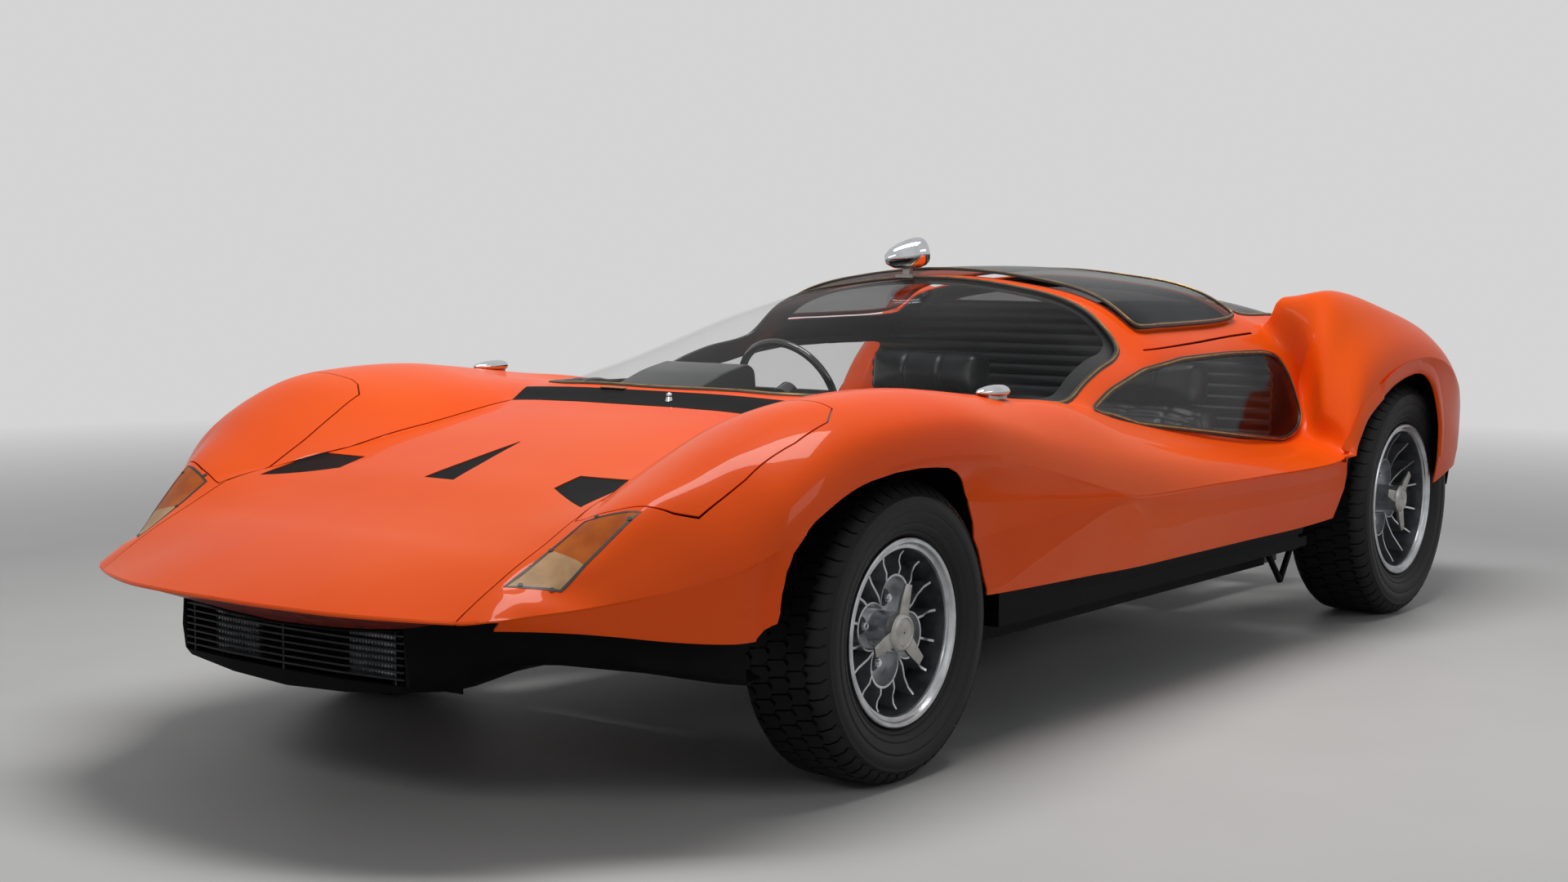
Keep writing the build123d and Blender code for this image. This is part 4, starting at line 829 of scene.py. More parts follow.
def glass_pieces(context, finishes):
    """Windscreen, quarter windows, sliding roof pane and rear window."""
    car = context.scene.wedge_car
    table = (("windscreen_pane", WINDSCREEN, "car", "clear_glass", "clear_glass", "windscreen"),
             ("rear_pane", REAR_GLASS, "car", "dark_glass", "tinted_glass", "rear_glass"),
             ("roof_pane", ROOF, "roof", "dark_glass", "tinted_glass", "roof_glass"))
    for name, outline, body, finish, slot_name, node in table:
        pane = trim(upper_skin(), shifted_outline(outline, -PANE_GAP), True)
        if body == "roof":
            bmesh.ops.translate(pane, verts=pane.verts, vec=(0, 0, ROOF_LIFT * MM))
        piece = finished(pane, name, [finishes[finish]], body)
        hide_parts(node)
        add_wall(piece, car.glass_thickness)
    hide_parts("roof_frame")
    pane = trim(upper_skin(), shifted_outline(WINDOW, -PANE_GAP), True, SIDE, WINDOW_LINES)
    mirrored_copy(pane)
    piece = finished(pane, "quarter_panes", [finishes["side_glass"]], "car")
    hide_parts("quarter_glasses")
    add_wall(piece, car.glass_thickness)


# Station where a nose lamp's cream front part meets its amber rear part
LAMP_SPLIT = 700
# Thickness of small shells, let-in panels, the chin and the board behind the grille, in metres
SHELL_WALL = 0.004
THIN_WALL = 0.003
CHIN_WALL = 0.005
BACKING_WALL = 0.002


def lamp_pieces(finishes):
    """Flush lamps in the nose and the tail, and the vent strip before the windscreen."""
    table = (("nose_lamp_lenses", NOSE_LAMP, "nose_lamps"), ("tail_lamp_lenses", TAIL_LAMP, "tail_lamps"))
    for name, outline, node in table:
        lens = trim(upper_skin(), shifted_outline(outline, -1), True)
        mirrored_copy(lens)
        split = at(LAMP_SPLIT, 0, 0).x
        nose = outline is NOSE_LAMP
        if nose:
            bmesh.ops.bisect_plane(lens, geom=lens.verts[:] + lens.edges[:] + lens.faces[:],
                                   plane_co=(split, 0, 0), plane_no=(1, 0, 0), dist=CUT_REACH)
            for face in lens.faces:
                face.material_index = 0 if face.calc_center_median().x > split else 1
        finish = [finishes["cream_lens"], finishes["amber_lens"]] if nose else [finishes["red_lens"]]
        piece = finished(lens, name, finish, "car")
        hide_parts(node)
        add_wall(piece, SHELL_WALL)
    strip = trim(upper_skin(), shifted_outline(mirrored_outline(STRIP_EDGE), -1), True)
    piece = finished(strip, "cowl_vent_strip", [finishes["matte_black"]], "car")
    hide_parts("cowl_strip")
    add_wall(piece, THIN_WALL)


FULL_TURN = 2 * math.pi
# Wheels, in millimetres: tyre radius, tyre width, rim radius, how deep the disc lies behind the rim's lip
WHEELS = {"front": (288, 200, 178, 62), "rear": (320, 225, 206, 88)}
# Angle of the first spinner ear and of the first wheel stud, clockwise from the top as seen from outside
EAR_TURN = {"front": 14, "rear": 45}
STUD_TURN = 15
STUD_RADIUS_AT = 62
LOBE_RADIUS = 45
FIN_COUNT = 16
FIN_THICKNESS = 4.6
TREAD_DEPTH = 7
# Tread: how far the blocks' edges swing, half the gap across and along the tread, how many blocks a row
# has, and the shares of half the width where the rows meet
TREAD_ZIG = 5
TREAD_GROOVE = 1.8
TREAD_GAP = 2.1
TREAD_PITCHES = 54
TREAD_ROWS = (0.21, 0.62)


def spun(bm, profile, steps=96, material=0, closed=True):
    """Turn a profile of (radius, y) about the wheel's axis into a ring."""
    known = set(bm.faces)
    verts = [bm.verts.new((0, y * MM, r * MM)) for r, y in profile]
    edges = [bm.edges.new(pair) for pair in zip(verts, verts[1:])]
    if closed:
        edges.append(bm.edges.new((verts[-1], verts[0])))
    bmesh.ops.spin(bm, geom=verts + edges, cent=(0, 0, 0), axis=(0, 1, 0), steps=steps, angle=FULL_TURN,
                   use_merge=True)
    faces = [face for face in bm.faces if face not in known]
    for face in faces:
        face.material_index = material
    return faces


def flat_prism(bm, outline, near, far, material=0):
    """Solid from an outline given as (x, z), between two y."""
    places = [(x * MM, near * MM, z * MM) for x, z in outline]
    return drawn_out(bm, places, (0, (far - near) * MM, 0), material)


def turned_prism(bm, outline, angle, thickness):
    """Thin plate along a radius: outline given as (radius, y), angle clockwise from the top."""
    places = [(-thickness / 2 * MM, y * MM, r * MM) for r, y in outline]
    verts = drawn_out(bm, places, (thickness * MM, 0, 0))
    bmesh.ops.rotate(bm, verts=verts, cent=(0, 0, 0), matrix=Matrix.Rotation(-math.radians(angle), 3, "Y"))


def wheel_point(angle, radius):
    """(x, z) at an angle clockwise from the top, seen from outside with the car's nose to the left."""
    turn = math.radians(angle)
    return -radius * math.sin(turn), radius * math.cos(turn)


def lobe_radius(angle):
    """Distance from the axis to the four-lobed wall round the studs, at an angle in degrees."""
    best = 0
    for k in range(4):
        turn = math.radians(angle - STUD_TURN - 90 * k)
        across = STUD_RADIUS_AT * math.sin(turn)
        if math.cos(turn) > 0 and abs(across) < LOBE_RADIUS:
            best = max(best, STUD_RADIUS_AT * math.cos(turn) + math.sqrt(LOBE_RADIUS ** 2 - across ** 2))
    return best


def tyre_mesh(kind):
    """Tyre about the Y axis: ridged side walls and blocks with zigzag edges over the tread."""
    radius, width, rim = WHEELS[kind][:3]
    half = width / 2
    wall = [(rim + 2, half - 27), (rim + 6, half - 20), (rim + 12, half - 15), (rim + 15, half - 16),
            (rim + 18, half - 12), (rim + 26, half - 8), (rim + 29, half - 9), (rim + 33, half - 6),
            (radius - 62, half - 1.5), (radius - 58, half - 3), (radius - 54, half - 0.5),
            (radius - 38, half - 0.5), (radius - 34, half - 2.5), (radius - 30, half - 2),
            (radius - 24, half - 7), (radius - 15, half - 17),
            (radius - TREAD_DEPTH - 1, half - 32), (radius - TREAD_DEPTH, half - 46)]
    mirrored_wall = [(r, -y) for r, y in reversed(wall)]
    inner = [(rim + 8, 24 - half), (radius - 30, 14 - half), (radius - 20, 40 - half),
             (radius - 20, half - 40), (radius - 30, half - 14), (rim + 8, half - 24)]
    bm = bmesh.new()
    spun(bm, wall + mirrored_wall + inner, 112)

    # Outer line of the tread and shoulder as (distance along it, radius, y)
    line = [(0, radius, 0), (half - 38, radius - 0.6, half - 38), (half - 26, radius - 3, half - 27),
            (half - 16, radius - 8.5, half - 18), (half - 4, radius - 18, half - 9),
            (half + 10, radius - 29, half - 1)]

    def on_tread(turn, across, depth):
        side = 1 if across >= 0 else -1
        reach = min(abs(across), line[-1][0])
        for (a, r0, y0), (b, r1, y1) in zip(line, line[1:]):
            if reach <= b:
                t = (reach - a) / (b - a)
                r, y = r0 + (r1 - r0) * t, y0 + (y1 - y0) * t
                break
        slope = min(max((reach - (half - 40)) / 40, 0), 1)
        r -= depth * math.cos(slope)
        y -= depth * math.sin(slope)
        x, z = wheel_point(turn, r)
        return Vector((x * MM, side * y * MM, z * MM))

    pitch = 360 / TREAD_PITCHES
    outer = half + 4
    inward, outward_share = TREAD_ROWS
    edges = [-outer, -half * outward_share, -half * inward, half * inward, half * outward_share, outer]
    gap_turn = math.degrees(TREAD_GAP / radius)
    for row, (low, high) in enumerate(zip(edges, edges[1:])):
        shift = (row % 2) * pitch / 2
        start, end = shift + gap_turn, shift + pitch - gap_turn
        outline = []
        for t, wave in ((0, -1), (0.5, 1), (1, -1)):
            swing = TREAD_ZIG * (0.5 if low == -outer else 1)
            outline.append((start + (end - start) * t, low + TREAD_GROOVE + wave * swing))
        for t, wave in ((1, -1), (0.5, 1), (0, -1)):
            swing = TREAD_ZIG * (0.5 if high == outer else 1)
            outline.append((start + (end - start) * t, high - TREAD_GROOVE + wave * swing))
        outline = [(turn + (across - (low + high) / 2) * 0.03, across) for turn, across in outline]
        base = [bm.verts.new(on_tread(turn, across, TREAD_DEPTH + 1)) for turn, across in outline]
        shoulder = max(abs(low), abs(high)) == outer
        top = [bm.verts.new(on_tread(turn, across, 0)) for turn, across in outline]
        new = set()
        for i in range(len(base)):
            k = (i + 1) % len(base)
            new.add(bm.faces.new((base[i], base[k], top[k], top[i])))
        if shoulder:
            # the block bends over the shoulder, so its face is split where it bends
            inner_side = (5, 4, 3) if low == -outer else (0, 1, 2)
            outer_side = (0, 1, 2) if low == -outer else (5, 4, 3)
            bend = -1 if low == -outer else 1
            middles = []
            for place in (half - 26, half - 10):
                middles.append([bm.verts.new(on_tread(outline[i][0], bend * place, 0)) for i in inner_side])
            rows_of = [[top[i] for i in inner_side]] + middles + [[top[i] for i in outer_side]]
            for one, two in zip(rows_of, rows_of[1:]):
                for i in (0, 1):
                    new.add(bm.faces.new((one[i], one[i + 1], two[i + 1], two[i])))
        else:
            new.add(bm.faces.new(top))
        verts = set(v for face in new for v in face.verts)
        block = list(verts) + list(new) + list(set(e for face in new for e in face.edges))
        bmesh.ops.spin(bm, geom=block, cent=(0, 0, 0), axis=(0, 1, 0), steps=TREAD_PITCHES - 1,
                       angle=FULL_TURN * (TREAD_PITCHES - 1) / TREAD_PITCHES, use_duplicate=True)
    bmesh.ops.recalc_face_normals(bm, faces=bm.faces)
    return bm


def rim_mesh(kind):
    """Cast wheel about the Y axis, outside towards +Y: double lip, dark barrel, finned disc, spinner."""
    width, rim, dish = WHEELS[kind][1:]
    half = width / 2
    lip = half - 15
    face = lip - dish
    bm = bmesh.new()
    spun(bm, [(rim + 1, half - 28), (rim + 1.5, lip - 2), (rim - 1, lip), (rim - 7, lip), (rim - 9, lip - 2),
              (rim - 10, lip - 7), (rim - 12, lip - 9), (rim - 15, lip - 8.5), (rim - 18, lip - 9),
              (rim - 19.5, lip - 12), (rim - 20, lip - 20), (rim - 16, lip - 22), (rim - 12, lip - 30)], 128)
    spun(bm, [(rim - 19.5, lip - 14), (rim - 23, lip - 26), (rim - 25, lip - 40), (rim - 29, face - 4),
              (rim - 30, -half + 30), (rim - 12, -half + 22), (rim - 12, -half + 20), (rim + 1, -half + 20),
              (rim + 1, -half + 28), (rim - 22, -half + 38), (rim - 22, lip - 40), (rim - 16, lip - 24)],
         96, 1)
    reach = rim - 26
    spun(bm, [(20, face - 22), (20, face - 10), (reach + 2, face - 10), (reach + 2, face - 22)], 64, 1)

    # Plate inside the lobes, its wall, and the studs in their recesses
    steps = 96
    outline = [wheel_point(360 / steps * i, lobe_radius(360 / steps * i) - 1.5) for i in range(steps)]
    flat_prism(bm, outline, face - 12, face + 1)
    wall_front = face + 27
    rings = []
    for grow, y in ((2.3, face - 10), (2.3, wall_front), (-2.3, wall_front), (-2.3, face - 10)):
        points = [wheel_point(360 / steps * i, lobe_radius(360 / steps * i) + grow) for i in range(steps)]
        rings.append([bm.verts.new((x * MM, y * MM, z * MM)) for x, z in points])
    for one, two in zip(rings, rings[1:] + rings[:1]):
        for i in range(steps):
            k = (i + 1) % steps
            bm.faces.new((one[i], one[k], two[k], two[i])).material_index = 0
    for k in range(4):
        angle = STUD_TURN + 90 * k
        x, z = wheel_point(angle, STUD_RADIUS_AT)
        for size, low, high, sides, finish in ((17, face - 6, face + 2.2, 20, 1),
                                               (8.5, face - 4, face + 14, 6, 3),
                                               (5.5, face + 12, face + 17, 12, 3)):
            ring = [(x + size * math.cos(FULL_TURN * i / sides), z + size * math.sin(FULL_TURN * i / sides))
                    for i in range(sides)]
            flat_prism(bm, ring, low, high, finish)

    # Fins between the lobed wall and the barrel
    for i in range(FIN_COUNT):
        angle = STUD_TURN + 45 + 360 / FIN_COUNT * i
        start = lobe_radius(angle)
        span = reach - start
        fin = [(start - 0.5, face - 12), (reach + 4, face - 12), (reach + 5, lip - 30),
               (start + span * 0.86, lip - 36 - dish * 0.03),
               (start + span * 0.6, (lip - 42 + wall_front) / 2),
               (start + span * 0.3, wall_front + 2), (start - 0.5, wall_front)]
        turned_prism(bm, fin, angle, FIN_THICKNESS)

    # Hub and spinner: a round cap in a thin ring, with three ears
    top = lip + 1
    spun(bm, [(2, face - 12), (42, face - 12), (38, face + 6), (33, top - 26), (33, top - 22), (2, top - 22)],
         48, 0)
    spun(bm, [(2, top - 24), (35, top - 24), (37, top - 20), (37, top - 8), (33, top - 3), (29, top - 1.5),
              (27.5, top - 1.5), (27, top - 3.5), (25, top - 4), (24, top - 2.5), (2, top - 2)], 64, 2)
    for i in range(3):
        angle = EAR_TURN[kind] + 120 * i
        blade = [(-17, 22), (17, 22), (14.5, 55), (10.5, 92), (-10.5, 92), (-14.5, 55)]
        verts = flat_prism(bm, blade, top - 17, top - 8, 2)
        for vert in verts:
            out = min(max((vert.co.z / MM - 30) / 62, 0), 1)
            vert.co.y += (out * out * 5 - (4 * out if vert.co.y > (top - 12) * MM else 0)) * MM
        turn = Matrix.Rotation(-math.radians(angle), 3, "Y")
        bmesh.ops.rotate(bm, verts=verts, cent=(0, 0, 0), matrix=turn)
    bmesh.ops.recalc_face_normals(bm, faces=bm.faces)
    sharp = [e for e in bm.edges if len(e.link_faces) == 2 and e.calc_face_angle(0) > 1.0
             and all(f.material_index == 2 for f in e.link_faces)]
    bmesh.ops.bevel(bm, geom=sharp, offset=0.0012, offset_type="OFFSET", segments=2, profile=0.5,
                    affect="EDGES", material=-1)
    return bm


def wheel_pieces(finishes):
    """Four tyres and rims, on the axles."""
    rim_finishes = [finishes[name] for name in ("alloy", "dark_alloy", "satin", "chrome")]
    table = (("tyre", tyre_mesh, [finishes["tyre"]], "tyre_rubber"),
             ("rim", rim_mesh, rim_finishes, "wheel_alloy"))
    for kind in ("front", "rear"):
        for part, builder, finish, slot_name in table:
            drawn = builder(kind)
            for name, side in (("left", 1), ("right", -1)):
                node = kind + "_" + part + "_" + name
                low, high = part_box(kind + "_tyre_" + name)
                bm = drawn.copy()
                if side < 0:
                    turn = Matrix.Rotation(math.pi, 3, "Z")
                    bmesh.ops.rotate(bm, verts=bm.verts, cent=(0, 0, 0), matrix=turn)
                bmesh.ops.translate(bm, verts=bm.verts, vec=(Vector(low) + Vector(high)) / 2)
                title = kind + "_" + part + "_dressed_" + name
                piece = finished(bm, title, finish, "wheel_" + kind + "_" + name, 35)
                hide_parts(node)
            drawn.free()


SEAL_PROFILE = [(-7, -2.5), (-6.5, 1.6), (-3.5, 3.2), (3.5, 3.2), (6.5, 1.6), (7, -2.5)]
BEAD_PROFILE = [(-2.4, 2.8), (-1.6, 4.4), (1.6, 4.4), (2.4, 2.8)]
LAMP_FRAME_PROFILE = [(-2.6, -2), (-2.6, 0.7), (2.6, 0.7), (2.6, -2)]
ROOF_LIFT = 16
SEARCH = {}
WHOLE_SIDE = 3
# Raised lip round the rear wheel arches: its section, and how far its middle lies from the arch's edge
LIP_PROFILE = [(-26, -1.5), (-18, 0.8), (-4, 3.6), (8, 5), (15, 4.6), (18, 2), (18, -4)]
LIP_OUT = 18
LIP_FOOT_Z = 400


def skin_tree(axis):
    """Search tree of the skin, made once; SIDE has the window's strip, WHOLE_SIDE the lower part too."""
    if axis not in SEARCH:
        bm = upper_skin()
        if axis == WHOLE_SIDE:
            join_meshes(bm, outward(lower_skin(), (0, 1, 0)))
        if axis == SIDE:
            layer = bm.verts.layers.float.get("line")
            lines = [(f, sum(v[layer] for v in f.verts) / len(f.verts)) for f in bm.faces]
            apart = [f for f, line in lines if not WINDOW_LINES[0] < line < WINDOW_LINES[1]]
            bmesh.ops.delete(bm, geom=apart, context="FACES")
        SEARCH[axis] = BVHTree.FromBMesh(bm)
        bm.free()
    return SEARCH[axis]


def on_skin(outline, axis=PLAN, size=16, closed=True):
    """Places and normals where an outline lies on the upper skin; from the side it is the left one."""
    tree = skin_tree(axis)
    places = []
    ends = zip(outline, outline[1:] + outline[:1]) if closed else zip(outline, outline[1:])
    for (a, b), (c, d) in ends:
        count = max(1, round(math.hypot(c - a, d - b) / size))
        for k in range(count):
            t = k / count
            u, w = a + (c - a) * t, b + (d - b) * t
            start = at(u, w, 1500) if axis == PLAN else at(u, 1200, w)
            hit = tree.ray_cast(start, Vector((0, 0, -1)) if axis == PLAN else Vector((0, -1, 0)))
            if hit[0] is not None:
                places.append((hit[0], hit[1] if hit[1].dot(Vector((0, 0.3, 1))) > 0 else -hit[1]))
    return places


def swept(bm, places, profile, material=0, closed=True, lift=0):
    """Strip swept along places with normals; the profile is (across, up) in millimetres."""
    rings = []
    count = len(places)
    for i, (point, normal) in enumerate(places):
        before = places[i - 1][0] if closed or i > 0 else point
        after = places[(i + 1) % count][0] if closed or i < count - 1 else point
        across = (after - before).normalized().cross(normal).normalized()
        lifted = point + Vector((0, 0, lift * MM))
        rings.append([bm.verts.new(lifted + across * (a * MM) + normal * (b * MM)) for a, b in profile])
    pairs = zip(rings, rings[1:] + rings[:1]) if closed else zip(rings, rings[1:])
    for one, two in pairs:
        for k in range(len(profile)):
            m = (k + 1) % len(profile)
            bm.faces.new((one[k], one[m], two[m], two[k])).material_index = material
    if not closed:
        for ring in (rings[0], rings[-1]):
            bm.faces.new(ring).material_index = material
    bmesh.ops.recalc_face_normals(bm, faces=bm.faces)
    return bm


def seal_pieces(finishes):
    """Rubber seals with a brass bead round the panes, and the thin frames of the nose lamps."""
    table = (("windscreen_seal", WINDSCREEN, "car", 0),
             ("rear_glass_seal", REAR_GLASS, "car", 0),
             ("roof_pane_seal", shifted_outline(ROOF, -6), "roof",
              ROOF_LIFT))
    for name, outline, body, lift in table:
        bm = bmesh.new()
        places = on_skin(outline)
        swept(bm, places, SEAL_PROFILE, 0, True, lift)
        swept(bm, places, BEAD_PROFILE, 1, True, lift)
        finished(bm, name, [finishes["rubber"], finishes["bead"]], body, 50)
    bm = bmesh.new()
    places = on_skin(WINDOW, SIDE)
    swept(bm, places, SEAL_PROFILE, 0)
    swept(bm, places, BEAD_PROFILE, 1)
    mirrored_copy(bm)
    finished(bm, "quarter_window_seals", [finishes["rubber"], finishes["bead"]], "car", 50)
    bm = bmesh.new()
    places = on_skin(NOSE_LAMP, size=24)
    swept(bm, places, LAMP_FRAME_PROFILE)
    for station, y in ((782, 505), (754, 550), (612, 522), (610, 594), (700, 498)):
        (place, normal), = on_skin([(station, y), (station + 1, y)], size=50, closed=False)
        ring = bmesh.ops.create_circle(bm, cap_ends=True, segments=14, radius=4.5 * MM,
                                       matrix=Matrix.Translation(place + normal * 0.0018)
                                       @ normal.to_track_quat("Z", "Y").to_matrix().to_4x4())
        for face in set(f for v in ring["verts"] for f in v.link_faces):
            face.material_index = 1
    mirrored_copy(bm)
    finished(bm, "nose_lamp_frames", [finishes["rubber"], finishes["steel"]], "car", 50)


# Chin under the nose for the left side, as (station, y, top z, bottom z)
CHIN_PATH = [(866, 0, 349, 232), (862, 150, 353, 238), (846, 292, 363, 250), (844, 300, 365, 252),
             (786, 335, 371, 250), (752, 385, 372, 275), (735, 420, 372, 298), (690, 500, 371, 300),
             (600, 610, 366, 286), (500, 690, 360, 262), (445, 712, 356, 252)]
GRILLE_HALF = 290
GRILLE_FOOT = 262
SLATS = 7
SLAT_PITCH = 12.5
SLAT_HEIGHT = 3.2
SLAT_DEPTH = 18
# How far the grille's bars lie behind the chin's front edge
SLAT_SETBACK = 4
HEADLAMP_Y = 182
HEADLAMP_Z = 305
LENS_RIBS = 15
LENS_RIB_PITCH = 8
# Places where the nose's lower edge and the chin's top edge face each other, as (station, y, z)
NOSE_EDGE = [(1010, 0, 408), (1007, 90, 407), (998, 180, 406), (980, 270, 404), (948, 360, 402),
             (894, 474, 399), (877, 503, 402)]
NOSE_UNDER = [(866, 0, 349), (864, 90, 351), (860, 180, 355), (851, 250, 360), (845, 298, 365),
              (790, 340, 371), (752, 385, 372)]


def stretched_strip(bm, rows, material_of):
    """Faces between rows of points; material_of gives each row's material."""
    made = [[bm.verts.new(at(*p)) for p in row] for row in rows]
    for k, (one, two) in enumerate(zip(made, made[1:])):
        for i in range(len(one) - 1):
            bm.faces.new((one[i], one[i + 1], two[i + 1], two[i])).material_index = material_of[k]
    return made


def finer(points, size=30):
    """Points with more added on the straight lines between them."""
    result = []
    for a, b in zip(points, points[1:]):
        a, b = Vector(a), Vector(b)
        count = max(1, round((b - a).length / size))
        result += [tuple(a.lerp(b, k / count)) for k in range(count)]
    return result + [tuple(points[-1])]


def arch_lip_pieces(finishes):
    """Raised painted lip round each rear wheel arch."""
    edge = rounded_outline(shifted_outline(REAR_ARCH, LIP_OUT), 70)
    arch = [p for p in edge if p[1] > LIP_FOOT_Z]
    bm = bmesh.new()
    swept(bm, on_skin(arch, WHOLE_SIDE, 14, False), LIP_PROFILE, 0, False)
    mirrored_copy(bm)
    finished(bm, "rear_arch_lips", [finishes["paint"]], "car", 60)


def nose_pieces(finishes):
    """Face tucked under the nose with dark red painted shade, black chin, grille slats and the lamps behind
    them.
    """
    edge = curve_through([Vector(p) for p in NOSE_EDGE], [5] * (len(NOSE_EDGE) - 1))
    under = curve_through([Vector(p) for p in NOSE_UNDER], [5] * (len(NOSE_UNDER) - 1))
    lip = [Vector((p.x - 4, p.y * 0.996, p.z - 3)) for p in edge]
    rows = [[tuple(p) for p in line] for line in (edge, lip)]
    for step in range(1, 6):
        rows.append([tuple(a.lerp(b, step / 5)) for a, b in zip(lip, under)])
    bm = bmesh.new()
    stretched_strip(bm, rows, [0, 1, 1, 1, 1, 1])
    mirrored_copy(bm)
    bmesh.ops.remove_doubles(bm, verts=bm.verts, dist=FINE_WELD)
    outward(bm, (1, 0, -0.4))
    # Below its lip the face under the nose takes the dark red painted shade
    coats = [finishes["paint"], finishes["worn_paint"]]
    under_face = finished(bm, "nose_under_face", coats, "car", 40)
    add_wall(under_face, SHELL_WALL)

    path = finer(CHIN_PATH, 24)
    slat_top = GRILLE_FOOT + SLAT_PITCH * (SLATS + 1)
    bm = bmesh.new()
    levels = []
    for station, y, top, foot in path:
        low = GRILLE_FOOT if y < GRILLE_HALF + 8 else foot + 12
        high = min(slat_top, top - 3) if y < GRILLE_HALF + 8 else (top + foot) / 2
        back = station - 22
        levels.append([(station - 4, y, top), (station, y, high), (station - 6, y, low),
                       (back + 8, y * 0.99, foot), (back - 60, y * 0.96, foot - 3),
                       (min(back - 60, 520), y * 0.9, foot + 8)])
    columns = [[bm.verts.new(at(*p)) for p in level] for level in levels]
    for i, (one, two) in enumerate(zip(columns, columns[1:])):
        opening = path[i + 1][1] <= GRILLE_HALF + 3
        for k in range(len(one) - 1):
            if not (opening and k == 1):
                bm.faces.new((one[k], one[k + 1], two[k + 1], two[k]))
    mirrored_copy(bm)
    bmesh.ops.remove_doubles(bm, verts=bm.verts, dist=FINE_WELD)
    outward(bm, (1, 0, -1))
    chin = finished(bm, "chin_panel", [finishes["matte_black"]], "car", 30)
    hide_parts("chin_valance")
    add_wall(chin, CHIN_WALL)

    bm = bmesh.new()
    front = [(866, 0), (862, 150), (846, GRILLE_HALF)]
    whole = [(s, -y) for s, y in reversed(front[1:])] + front
    for i in range(SLATS):
        z = GRILLE_FOOT + SLAT_PITCH * (i + 1)
        outline = [(s - SLAT_SETBACK, y) for s, y in whole]
        outline += [(s - SLAT_SETBACK - SLAT_DEPTH, y) for s, y in reversed(whole)]
        drawn_out(bm, [at(s, y, z - SLAT_HEIGHT / 2) for s, y in outline], (0, 0, SLAT_HEIGHT * MM))
    for station, y in ((856, 0), (838, 268), (838, -268)):
        add_box(bm, at(station, y, GRILLE_FOOT + 47), (6, 4, 98))
    bmesh.ops.recalc_face_normals(bm, faces=bm.faces)
    slats = finished(bm, "grille_bars", [finishes["slat"]], "car", 30)
    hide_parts("grille_slats")
    bm = bmesh.new()
    backing = [(760, 0), (755, 150), (745, 330)]
    whole = [(s, -y) for s, y in reversed(backing[1:])] + backing
    for (s0, y0), (s1, y1) in zip(whole, whole[1:]):
        corners = ((s0, y0, 240), (s1, y1, 240), (s1, y1, 372), (s0, y0, 372))
        bm.faces.new([bm.verts.new(at(*corner)) for corner in corners])
    bmesh.ops.remove_doubles(bm, verts=bm.verts, dist=FINE_WELD)
    backing = finished(outward(bm, (1, 0, 0)), "grille_backing", [finishes["matte_black"]], "car")
    add_wall(backing, BACKING_WALL)

    # Rectangular headlamps: a chromed bowl with a ribbed lens
    bm = bmesh.new()
    for high, front, deep, material in ((88, 786, 44, 0), (76, 812, 8, 1)):
        add_box(bm, at(front - deep / 2, HEADLAMP_Y, HEADLAMP_Z), (deep, high * 1.6, high), material)
    for i in range(LENS_RIBS):
        y = HEADLAMP_Y + (i - (LENS_RIBS - 1) / 2) * LENS_RIB_PITCH
        add_box(bm, at(813, y, HEADLAMP_Z), (3, 3.4, 72), 1)
    mirrored_copy(bm)
    bmesh.ops.recalc_face_normals(bm, faces=bm.faces)
    lamps = finished(bm, "headlamp_units", [finishes["chrome"], finishes["lamp_glass"]], "car",
                     30)
    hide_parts("headlamps")


# Egg mirror: its outline from the spin axis, as (radius, along), and its middle as (station, y, z)
EGG_PROFILE = [(0.5, 46), (20, 45), (31, 42), (35, 36), (37, 24), (36, 6), (32, -18), (24, -40), (13, -54),
               (0.5, -58)]
EGG_PLACE = (-1230, -75, 990)
MARKER_PROFILE = [(0.5, 50), (13, 48), (19, 42), (22, 30), (22, 8), (19, -16), (13, -38), (6, -50),
                  (0.5, -53)]
MARKER_PLACE = (-372, 702)


# Washer nozzle and tab behind it, as (station, y, z)
NOZZLE_PLACE = (-106, 81, 692)
NOZZLE_TOP = 8
TAB_PLACE = (-160, -119, 705)


